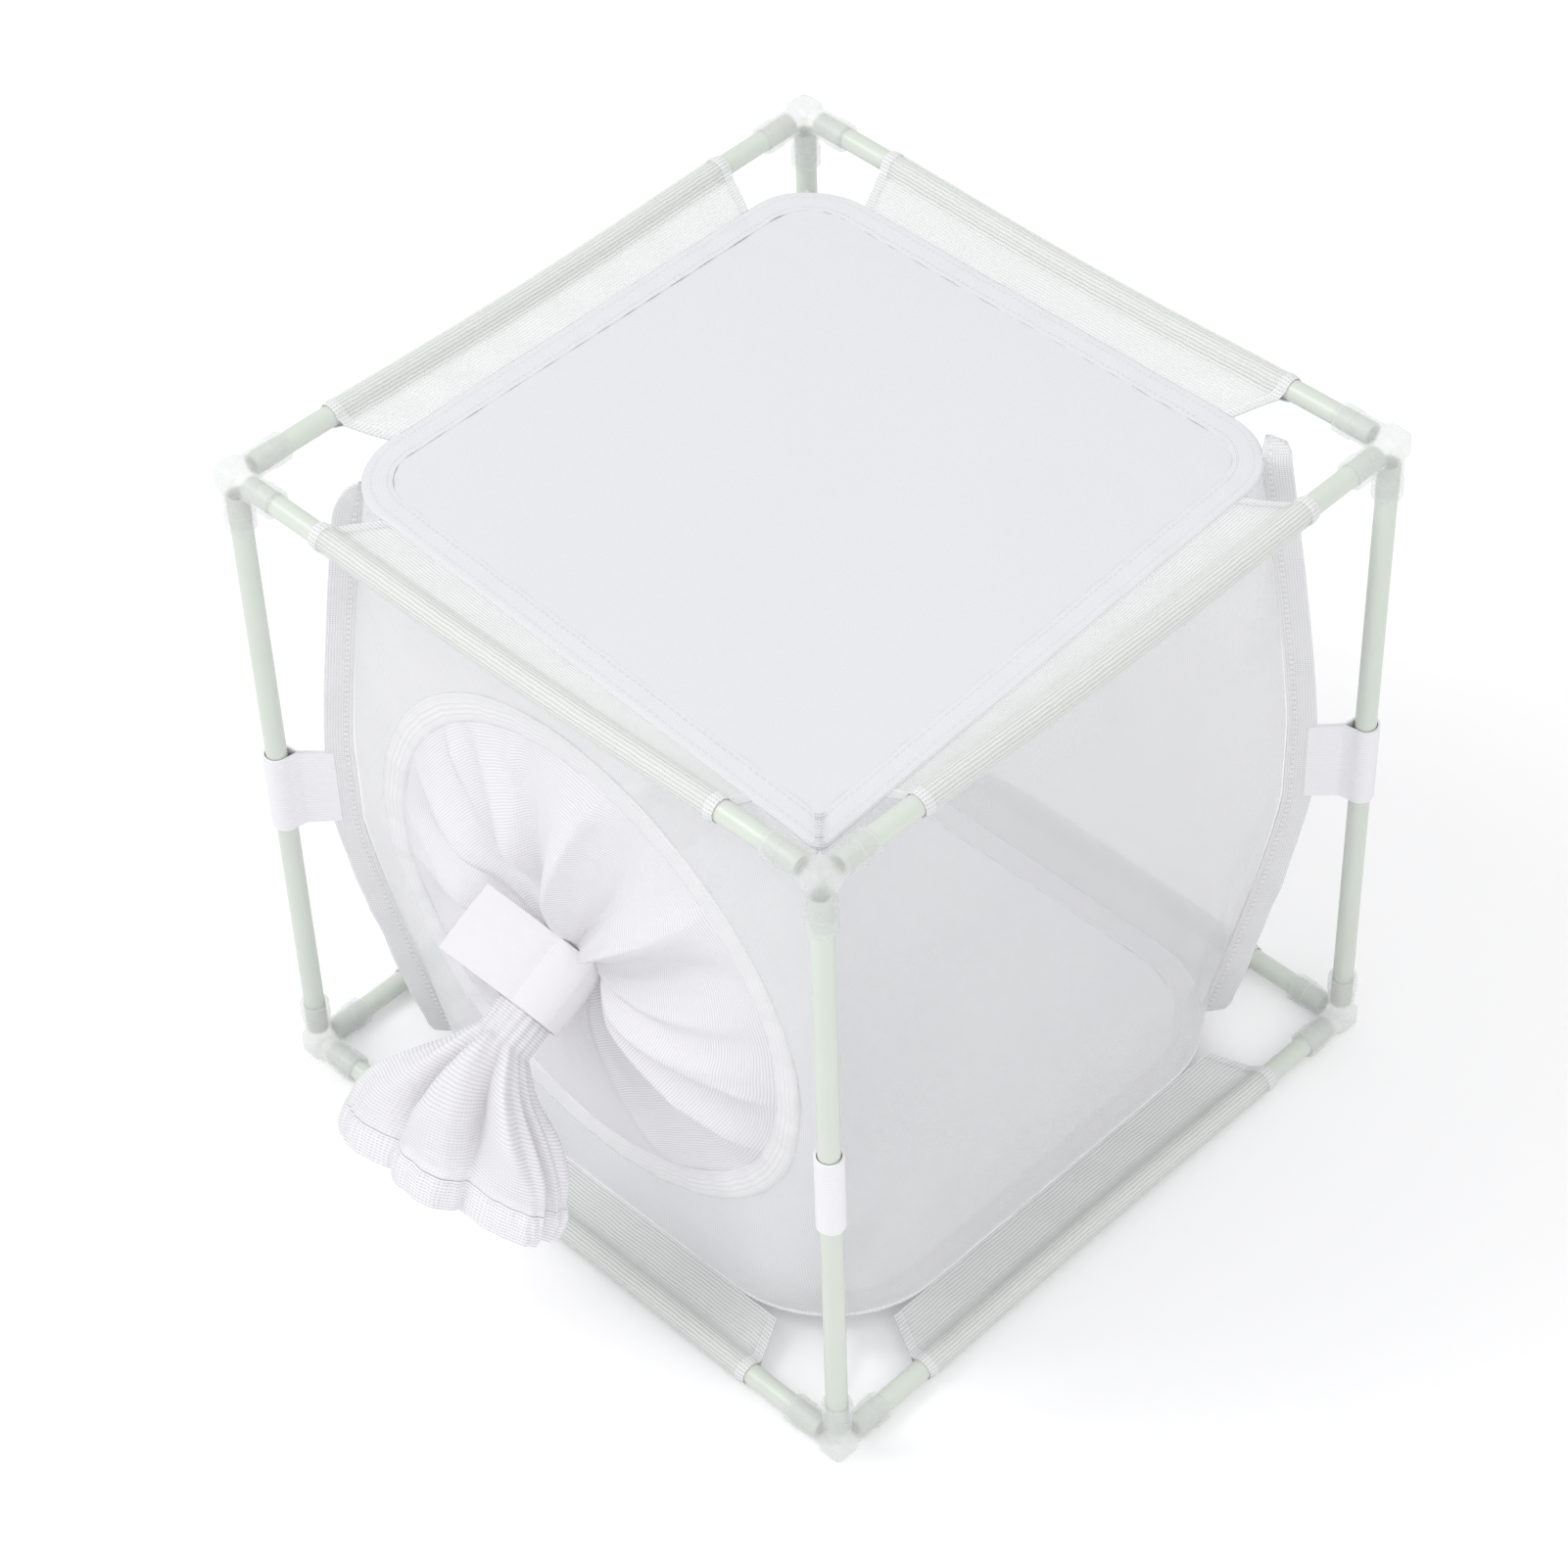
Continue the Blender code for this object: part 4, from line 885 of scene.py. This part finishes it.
# Corner tapes: the same tape folded over each upright seam, standing out from the corner
# like a fin. Their cut ends run a little past the bag, and two are left longer.
TAPE_WIDTH = 0.0110
TAPE_GAP = 0.0012
TAPE_ROWS = 110
LONG_END = 0.0085           # how far the back right tape runs on above the bag
fin_section = folded_tape(TAPE_WIDTH, TAPE_GAP, TAPE_GAP)
fin_across = running_lengths(fin_section)
tape_cloth = sewn_cloth("corner_tape", ((0.92, 0.92, 0.94), (0.96, 0.96, 0.97)), 0.64,
                        (0.36, 0.70), (0.0010, 0.0010, 1.0),
                        (0.0024, 0.0032, fin_across[-1] - 0.0024, fin_across[-1] - 0.0032),
                        0.00008)
for index, (corner, extra_top, extra_bottom, walls) in enumerate((
        ("front_right", 0.000, 0.0240, ("mesh_wall_front", "window")),
        ("back_right", LONG_END, 0.002, ("window", "mesh_wall_back")),
        ("back_left", 0.001, 0.001, ("mesh_wall_back", "mesh_wall_left")),
        ("front_left", 0.001, 0.003, ("mesh_wall_left", "mesh_wall_front")))):
    low, high = WALL_BOTTOM - extra_bottom, WALL_TOP + extra_top

    def fin_spot(column, row):
        z = low + (high - low) * row / TAPE_ROWS
        edge = wall_plan(1.0, min(max(z, WALL_BOTTOM), WALL_TOP), 0 if index else 1).x
        across, aside = fin_section[column]
        # Near the pulled-out corner the tape is narrower, so that it clears the socket.
        room = (HALF_SPAN - LIP_RADIUS - 0.0008 - edge) * math.sqrt(2) - TAPE_CLOTH
        out = (TAPE_WIDTH + across) * min(1.0, room / TAPE_WIDTH)
        away = abs(z - LOOP_LEVEL) - LOOP_LENGTH / 2 - 0.004
        free = min(1.0, max(0.0, away) / 0.03)
        wave = 0.0008 * math.sin(z * 118 + index) + 0.0005 * math.sin(z * 260 + 2 * index)
        above, below = max(0.0, z - WALL_TOP), max(0.0, WALL_BOTTOM - z)
        # The ends are cut to a curve; the two longer ones bend away, and the long one gapes.
        cut = max(0.0, 1 - (high - z) / (0.009 if extra_top == LONG_END else 0.020),
                  1 - (z - low) / 0.006)
        out *= 0.15 + 0.85 * math.sqrt(1 - cut ** 2)
        puff = 1 + 1.6 * math.sin(math.pi * min(1.0, above / LONG_END)) * out / TAPE_WIDTH
        sideways = aside * puff + wave * free * out / TAPE_WIDTH + above * 0.35
        out += above * 0.2 + below * 0.95
        x = edge - 0.0003 + (out + sideways) / math.sqrt(2)
        y = -edge + 0.0003 - (out - sideways) / math.sqrt(2)
        return Vector((x, y, max(z, WALL_BOTTOM - below * 0.2))), (z - low, fin_across[column])

    tape = cloth_piece(f"seam_tape_{corner}", len(fin_section) - 1, TAPE_ROWS, fin_spot,
                       TAPE_CLOTH, tape_cloth, turn=quarter_turn(index))
    put_in_place(tape, "root", [f"corner_tape_{corner}"])


# Post loops: white webbing round each upright, its two ends sewn to the corner tape. They
# hold the bag's corners out at mid height.
LOOP_RADIUS = 0.0050
LOOP_CLOTH = 0.0009
LOOP_ROWS = 16
loop_tip = wall_plan(1.0, LOOP_LEVEL).x + TAPE_WIDTH / math.sqrt(2)
loop_section = fold_round_rod((HALF_SPAN, -HALF_SPAN), (loop_tip - 0.0025, 0.0025 - loop_tip),
                              LOOP_RADIUS, math.radians(40))
loop_across = running_lengths(loop_section)
webbing = sewn_cloth("webbing", ((0.86, 0.855, 0.88), (0.905, 0.90, 0.925)), 0.68,
                     (1.0, 1.0), (0.0014, 0.0007, 0.6), bump=0.00012, sheen=0.25)


def loop_spot(column, row):
    share = 2 * row / LOOP_ROWS - 1
    point = loop_section[column]
    from_post = (point - Vector((HALF_SPAN, -HALF_SPAN))).length
    narrowing = 0.035 * max(0.0, (from_post - LOOP_RADIUS) / 0.02)
    z = LOOP_LEVEL + share * LOOP_LENGTH / 2 * (1 - narrowing)
    return Vector((*point, z)), (loop_across[column], (share + 1) * LOOP_LENGTH / 2)


loop = cloth_piece("loop", len(loop_section) - 1, LOOP_ROWS, loop_spot, LOOP_CLOTH, webbing)
for index, corner in enumerate(CORNERS):
    piece = copy_of(loop, f"webbing_loop_{corner}", quarter_turn(index))
    put_in_place(piece, "root", [f"post_loop_{corner}"])
bpy.data.objects.remove(loop)


# Port binding: a flat tube of tape round the hole, with the wall and the sleeve caught
# inside it and a row of stitches near each edge.
RING_WIDTH = 0.0120
RING_THICKNESS = 0.0020
RING_COLUMNS, RING_ROWS = 288, 20


def ring_spot(column, row):
    angle = math.tau * column / RING_COLUMNS
    turn = math.tau * row / RING_ROWS
    across = math.copysign(abs(math.cos(turn)) ** 0.6, math.cos(turn))
    out = math.copysign(abs(math.sin(turn)) ** 0.75, math.sin(turn))
    pucker = (0.00022 * math.sin(angle * 67) + 0.00030 * math.sin(angle * 29 + 1)) * out
    radius = PORT_RADIUS - RING_WIDTH / 2 + across * RING_WIDTH / 2
    x, z = radius * math.cos(angle), PORT_LEVEL + radius * math.sin(angle)
    swell = 1 + 0.5 * max(0.0, abs(across) - 0.6) / 0.4 * (1 - abs(across))
    y = wall_depth(x, z) - out * RING_THICKNESS / 2 * swell - pucker
    return Vector((x, y, z)), (angle * PORT_RADIUS, row / RING_ROWS * 2 * RING_WIDTH)


ring_cloth = sewn_cloth("port_tape", ((0.82, 0.82, 0.84), (0.865, 0.865, 0.88)), 0.66,
                        (0.90, 1.0), (0.0009, 0.0009, 1.0),
                        (0.0031, 0.0089, 0.0151, 0.0209), 0.00006)
ring = cloth_piece("port_binding", RING_COLUMNS, RING_ROWS, ring_spot, TAPE_CLOTH, ring_cloth,
                   closed=True)
put_in_place(ring, "root", ["port_ring"])


# Sleeve, first stretch: ribbed mesh gathered from the port's binding in to the tied neck,
# in broad folds that get narrower towards it. It is cut in four gores.
NECK_ROOT = Vector((0, -0.1276, 0.1539))
NECK_OUT = Vector((0, -0.88295, -0.46947))
NECK_UP = Vector((0, -0.46947, 0.88295))
ACROSS = Vector((1, 0, 0))
NECK_WIDTH = 0.0270
NECK_THICKNESS = 0.0220
SLEEVE_CLOTH = 0.0004
CONE_COLUMNS, CONE_ROWS = 360, 60
CONE_BULGE = 0.0050
CONE_RIM = PORT_RADIUS - RING_WIDTH + 0.002
CONE_LENGTH = 0.095         # of the cloth, from the binding in to the neck
FLAT_START = 0.6            # keeps the flat map's places positive
# Each fold: where it stands round the port in degrees from the right, how wide, how high.
FOLDS = ((-5, 8, 7.5), (-26, 7, 7.0), (-51, 15, -8.0), (-92, 17, 4.5), (-124, 9, -5.0),
         (-143, 8, 5.5), (-161, 7, -4.5), (-178, 8, 5.5), (164, 7, -4.5), (150, 7, 5.0),
         (131, 7, -5.5), (115, 6, 6.5), (101, 6, -5.5), (82, 7, 7.0), (65, 7, -5.5),
         (48, 7, 5.5), (31, 7, -5.0), (15, 6, 3.5))
# Narrow ridges, where the gathered cloth doubles over itself and runs on to the binding.
RIDGES = ((-9, 2.6, 4.0), (-28, 2.8, 4.5), (-71, 2.4, 2.6), (-143, 2.6, 3.4), (-178, 2.4, 3.0),
          (152, 2.4, 3.0), (137, 2.6, 4.0), (112, 2.6, 3.4), (84, 2.8, 4.4), (49, 2.6, 3.4))


def fold(away, width, fullness):
    """A fold's height, 1 on its crest; away is the angle from the crest, in degrees."""
    away = (away + 180) % 360 - 180
    return math.exp(-abs(away / width) ** fullness)


def gathers(degrees, share):
    """How far the folds lift the cloth at a place, in metres."""
    lift = crest = 0.0
    for place, width, height in FOLDS:
        drift = 7 * math.sin(3 * share + place) * (1 - share)
        lift += height * fold(degrees - place - drift, width * (1 - 0.18 * share), 1.6)
    for place, width, height in RIDGES:
        drift = 5 * math.sin(2.4 * share + 2 * place) * (1 - share)
        crest += height * fold(degrees - place - drift, width * (1 + 1.2 * share), 1.3)
    fine = (math.sin(math.radians(degrees) * 47 + 9 * share)
            + 0.7 * math.sin(math.radians(degrees) * 31 - 5 * share))
    rise = math.sin(math.pi * min(1.0, share * 1.02)) ** 0.75
    return 0.001 * (lift * rise * (0.75 + 0.5 * share) + 0.35 * fine * rise * share
                    + crest * min(1.0, 7 * share) * min(1.0, 5 * (1 - share)))


def cone_spot(column, row):
    angle = math.tau * column / CONE_COLUMNS - math.pi / 4
    share = row / CONE_ROWS
    a, b = math.cos(angle), math.sin(angle)
    x, z = CONE_RIM * a, PORT_LEVEL + CONE_RIM * b
    start = Vector((x, wall_depth(x, z) + 0.0002, z))
    end = (NECK_ROOT + NECK_OUT * 0.001 + ACROSS * (a * NECK_WIDTH / 2 * 0.94)
           + NECK_UP * (b * NECK_THICKNESS / 2 * 0.94))
    point = start.lerp(end, share)
    dome = 4 * share * (1 - share) * CONE_BULGE + 0.003 * math.sin(math.pi * share ** 3)
    # The cloth lies flatter behind the strap's free end, which needs room to move.
    behind = math.exp(-((point.x + 0.020) / 0.022) ** 4 - ((point.z - 0.170) / 0.022) ** 4)
    point.y -= (dome + gathers(math.degrees(angle), share)) * (1 - 0.85 * behind)
    return point, (angle * CONE_RIM + FLAT_START, share * CONE_LENGTH)


sleeve_cloth = sewn_cloth("sleeve_mesh", ((0.885, 0.875, 0.91), (0.925, 0.915, 0.94)), 0.60,
                          (0.56, 0.84), (0.0012, 0.0010, 0.7), bump=0.0001, sheen=0.3)
cone = cloth_piece("cone", CONE_COLUMNS, CONE_ROWS, cone_spot, SLEEVE_CLOTH, sleeve_cloth,
                   closed=True)
layer = len(cone.data.vertices) // 2    # the cloth's two faces have the same corners
cone.data.transform(Matrix.Translation(CAGE_PLACE))
port_middle = Vector((0, 0, PORT_LEVEL + 0.003))
gores = (("right", ACROSS), ("top", Vector((0, 0, 1))), ("left", -ACROSS),
         ("bottom", Vector((0, 0, -1))))
smooth_normals = [loop.vector.copy() for loop in cone.data.corner_normals]
flat_map = cone.data.uv_layers.active.data
gore_faces = {name: [] for name, _ in gores}
for face in cone.data.polygons:
    along = sum(flat_map[i].uv.x for i in face.loop_indices) / face.loop_total - FLAT_START
    turns = (along / CONE_RIM + math.pi / 4) // (math.pi / 2)
    gore_faces[gores[int(turns) % 4][0]].append(face)
for gore_name, outward in gores:
    corners = sorted({i for face in gore_faces[gore_name] for i in face.vertices})
    number = {corner: k for k, corner in enumerate(corners)}
    data = bpy.data.meshes.new(f"sleeve_gore_{gore_name}")
    faces = [tuple(face.vertices) for face in gore_faces[gore_name]]
    runs = {(a, b) for face in faces for a, b in zip(face, face[1:] + face[:1])}
    faces += [(b, a, a + layer, b + layer) for a, b in runs
              if (b, a) not in runs and a < layer and b < layer]
    data.from_pydata([cone.data.vertices[i].co for i in corners], [],
                     [[number[i] for i in face] for face in faces])
    loops = [i for face in gore_faces[gore_name] for i in face.loop_indices]
    gore_map = data.uv_layers.new(name="UVMap").data
    for k, i in enumerate(loops):
        gore_map[k].uv = flat_map[i].uv
    data.shade_smooth()
    data.normals_split_custom_set([smooth_normals[i] for i in loops]
                                  + [Vector()] * (len(data.loops) - len(loops)))
    data.materials.append(sleeve_cloth)
    gore = bpy.data.objects.new(f"sleeve_gore_{gore_name}", data)
    bpy.context.scene.collection.objects.link(gore)
    middle = port_middle + Vector((0, NECK_ROOT.y + CAGE_PLACE.y, 0))
    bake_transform(gore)
    if gore_name == "right":
        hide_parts("sleeve_cone")
bpy.data.objects.remove(cone)


# Neck and tie strap: the sleeve is bunched tight and held by a turn of wide webbing, whose
# stiff free end stands off to the left.
STRAP_START, STRAP_END = 0.0018, 0.0308
STRAP_CLOTH = 0.0011
STRAP_WIDTH = 0.029
STRAP_LENGTH = 0.095
STRAP_EDGE = 0.0004         # the first cross thread's place in from the webbing's edge
STRAP_TURN = math.tau + 1.15            # once round and a lap
STRAP_COLUMNS, STRAP_ROWS = 120, 14
NECK_COLUMNS, NECK_ROWS = 136, 24
NECK_LENGTH = 0.0326
PLEATS = 17


def bunched(distance, angle, size=1.0):
    """A point on the bunched cloth at a distance along the neck."""
    pleat = 1 + 0.05 * math.sin(PLEATS * angle + 40 * distance) + 0.03 * math.sin(
        29 * angle)
    return (NECK_ROOT + NECK_OUT * distance
            + ACROSS * (math.cos(angle) * NECK_WIDTH / 2 * size * pleat)
            + NECK_UP * (math.sin(angle) * NECK_THICKNESS / 2 * size * pleat))


def neck_spot(column, row):
    angle = math.tau * column / NECK_COLUMNS
    distance = -0.0016 + NECK_LENGTH * row / NECK_ROWS
    size = 0.90 if 0 < row < NECK_ROWS else 0.80
    return bunched(distance, angle, size), (angle * NECK_WIDTH / 2, distance + 0.01)


neck = cloth_grid("bunched_neck", NECK_COLUMNS, NECK_ROWS, neck_spot)
sew_shut(neck)
select_only(neck)
bpy.ops.object.mode_set(mode="EDIT")
bpy.ops.mesh.select_all(action="DESELECT")
bpy.ops.mesh.select_mode(type="EDGE")
bpy.ops.mesh.select_non_manifold()
bpy.ops.mesh.fill_holes(sides=0)
bpy.ops.object.mode_set(mode="OBJECT")
shade(neck, 60, sleeve_cloth)
put_in_place(neck, "sleeve", ["sleeve_neck"])


strap_cloth = sewn_cloth("strap_webbing", ((0.80, 0.78, 0.82), (0.84, 0.82, 0.855)), 0.70,
                         (1.0, 1.0), (0.0010, 0.0007, 0.8), bump=0.00008, sheen=0.3)


def strap_spot(column, row):
    """Once round the neck from the tab, then on for a quarter turn over the first layer."""
    turned = STRAP_TURN * column / STRAP_COLUMNS
    turn = math.pi / 2 + 0.06 - turned
    over = max(0.0, turned - math.tau + 0.25) / 1.4
    layer = min(1.0, over * 2.2)
    distance = STRAP_START + (STRAP_END - STRAP_START) * row / STRAP_ROWS
    across = NECK_WIDTH / 2 + 0.0003 + STRAP_CLOTH * (0.5 + layer)
    up = NECK_THICKNESS / 2 + 0.0003 + STRAP_CLOTH * (0.5 + layer)
    crown = 0.0004 * math.sin(math.pi * row / STRAP_ROWS)
    point = (NECK_ROOT + NECK_OUT * distance + ACROSS * (math.cos(turn) * (across + crown))
             + NECK_UP * (math.sin(turn) * (up + crown)))
    return point, (column / STRAP_COLUMNS * STRAP_LENGTH,
                   row / STRAP_ROWS * STRAP_WIDTH + STRAP_EDGE)


strap = cloth_piece("webbing_strap", STRAP_COLUMNS, STRAP_ROWS, strap_spot,
                    STRAP_CLOTH * 0.9, strap_cloth)
put_in_place(strap, "sleeve", ["tie_strap"])

TAB_LENGTH = 0.0335
TAB_RISE = math.radians(12)
TAB_PIVOT = Vector((-0.0014, -0.148329, 0.158165))
TAB_ROOT = 0.0018           # how far the tab reaches back over the strap
TAB_COLUMNS = 24


def tab_spot(column, row):
    share = column / TAB_COLUMNS
    across = row / STRAP_ROWS
    along = (across - 0.5) * STRAP_WIDTH
    curl = 0.0012 * math.sin(math.pi * share) + 0.0006 * share ** 2 * math.sin(across * 3)
    curl -= 0.0010 * max(0.0, 1 - share / 0.12)
    outward = -ACROSS * math.cos(TAB_RISE) + NECK_UP * math.sin(TAB_RISE)
    upward = NECK_UP * math.cos(TAB_RISE) + ACROSS * math.sin(TAB_RISE)
    point = (TAB_PIVOT + NECK_OUT * along + outward * (share * (TAB_LENGTH + 0.0014) - TAB_ROOT)
             + upward * curl)
    return point, (share * TAB_LENGTH, across * STRAP_WIDTH + STRAP_EDGE)


tab = cloth_piece("webbing_tab", TAB_COLUMNS, STRAP_ROWS, tab_spot, STRAP_CLOTH, strap_cloth)
put_in_place(tab, "tab", ["strap_tab"])


# Sleeve's tail and cuff: the cloth opens out again past the strap in deep lengthways folds
# and hangs. Its hem is a casing with elastic inside, which gathers it in small puckers.
TAIL_PIVOT = NECK_ROOT + NECK_OUT * 0.0444
TAIL_LENGTH = 0.0500
TAIL_DRIFT = 0.0020
TAIL_TURN = math.radians(8)
TAIL_DROOPS = (28, 45, 62, 62, 62)
BALL_RADIUS = 0.011
CUFF_HALF_WIDTH = 0.0475
CUFF_HALF_THICKNESS = 0.0135
CUFF_LENGTH = 0.0120
TAIL_COLUMNS, TAIL_ROWS = 288, 56
CUFF_ROWS = 16
TAIL_FLAT_RADIUS = 0.035    # of that way round
TAIL_TUCK = 0.27            # share of the tail's length that goes back to the strap's edge


def drooping(degrees):
    angle = math.radians(degrees)
    return (Vector((0, -math.cos(angle), -math.sin(angle))),
            Vector((0, -math.sin(angle), math.cos(angle))))


stops = [(TAIL_PIVOT.copy(), *drooping(TAIL_DROOPS[0]))]
for step in range(1, 5):
    out, up = drooping(TAIL_DROOPS[step])
    place = stops[-1][0] + (out * TAIL_LENGTH - ACROSS * TAIL_DRIFT) / 4
    stops.append((place, out, up))


def tail_frame(share):
    """The middle, the way across and the way up of the tail at a share of its length."""
    if share <= 0:
        return TAIL_PIVOT + NECK_OUT * (share * TAIL_LENGTH), ACROSS, NECK_UP
    if share >= 1:
        place, out, up = stops[-1]
        turn = Matrix.Rotation(TAIL_TURN, 3, "Z")
        across, up = turn @ ACROSS, turn @ up
        return place + across.cross(up) * ((share - 1) * TAIL_LENGTH), across, up
    step = min(3, int(share * 4))
    part = share * 4 - step
    before, after = stops[max(0, step - 1)][0], stops[min(4, step + 2)][0]
    first, second = stops[step][0], stops[step + 1][0]
    place = (first * (2 * part ** 3 - 3 * part ** 2 + 1)
             + (second - before) / 2 * (part ** 3 - 2 * part ** 2 + part)
             + second * (-2 * part ** 3 + 3 * part ** 2)
             + (after - first) / 2 * (part ** 3 - part ** 2))
    turn = Matrix.Rotation(TAIL_TURN * share, 3, "Z")
    return place, turn @ ACROSS, turn @ stops[step][2].lerp(stops[step + 1][2],
                                                            part).normalized()


def tail_size(share):
    ease = max(0.0, min(1.0, share)) ** 1.2
    return (BALL_RADIUS + (CUFF_HALF_WIDTH - BALL_RADIUS) * math.sin(ease * math.pi / 2),
            BALL_RADIUS + (CUFF_HALF_THICKNESS - BALL_RADIUS) * ease)


# Lengthways folds: where each stands in degrees from the right, how wide, how high.
TAIL_FOLDS = ((150, 24, 0.10), (112, 8, -0.30), (88, 14, 0.34), (62, 8, -0.32), (38, 14, 0.22),
              (9, 9, -0.14), (-28, 15, 0.12), (-62, 9, -0.15), (-92, 13, 0.12),
              (-124, 9, -0.14), (-152, 11, 0.08), (183, 8, -0.12))
FOLD_LIFT = 0.011           # what a fold of height 1 adds across the tail's flat side


def draped(share, angle, inset=0.0):
    """A point on the tail's cloth."""
    place, across, up = tail_frame(share)
    width, thickness = tail_size(share)
    along = max(0.0, min(1.0, share))
    body = math.sin(math.pi * min(1.0, along * 0.93 + 0.02)) ** 0.6 if along > 0 else 0.0
    body = max(body, 0.62 * along)
    broad = 0.0
    for crest, spread, height in TAIL_FOLDS:
        drift = 6 * math.sin(3 * along + crest)
        broad += height * fold(math.degrees(angle) - crest - drift, spread, 1.7)
    narrow = math.cos(13 * angle - 1.6 * along + 2 + 0.8 * math.sin(4 * angle))
    fine = math.cos(37 * angle + 3 * along + 1.5 * math.sin(5 * angle))
    folds = body * broad + 0.035 * body * narrow
    folds += 0.035 * (1 - along) ** 2 * math.cos(PLEATS * angle)
    folds += 0.012 * along ** 3 * fine
    size = 1 + folds
    height = thickness * size * (1 + 0.25 * body) + FOLD_LIFT * folds * body - inset
    return (place + across * (math.cos(angle) * (width * size - inset))
            + up * (math.sin(angle) * height))


def tail_spot(column, row):
    share = -TAIL_TUCK + (1 + TAIL_TUCK) * row / TAIL_ROWS
    angle = math.tau * column / TAIL_COLUMNS
    return draped(share, angle), (angle * TAIL_FLAT_RADIUS, share * TAIL_LENGTH + 0.02)


tail = cloth_piece("sleeve_tail_cloth", TAIL_COLUMNS, TAIL_ROWS, tail_spot, SLEEVE_CLOTH,
                   sleeve_cloth, closed=True)
tail.data.transform(Matrix.Translation(CAGE_PLACE))
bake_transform(tail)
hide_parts("sleeve_tail")

cuff_cloth = sewn_cloth("cuff_mesh", ((0.87, 0.86, 0.90), (0.93, 0.92, 0.95)), 0.60,
                        (0.60, 0.97), (0.0012, 0.0010, 0.8), (0.0014, 0.0232), 0.0001, 0.3)


def cuff_spot(column, row):
    """The casing in section goes down the outside, round the hem and up the inside."""
    angle = math.tau * column / TAIL_COLUMNS
    turn = 2 * row / CUFF_ROWS
    down = turn if turn <= 1 else 2 - turn
    share = 1 + (down * CUFF_LENGTH + 0.0003) / TAIL_LENGTH
    swell = math.sin(math.pi * min(1.0, down * 1.06)) ** 0.5 if 0 < down < 0.94 else 0.0
    puffs = (0.6 + 0.35 * math.sin(37 * angle + 2 * math.sin(3 * angle))
             + 0.35 * math.sin(59 * angle + 5 * down + 2 * math.sin(5 * angle)))
    inset = -0.0011 * swell * puffs if turn <= 1 else 0.0012 + 0.0004 * swell
    return draped(share, angle, inset), (angle * TAIL_FLAT_RADIUS, turn * CUFF_LENGTH)


cuff = cloth_piece("elastic_cuff", TAIL_COLUMNS, CUFF_ROWS, cuff_spot, SLEEVE_CLOTH,
                   cuff_cloth, closed=True)
put_in_place(cuff, "tail", ["cuff"])
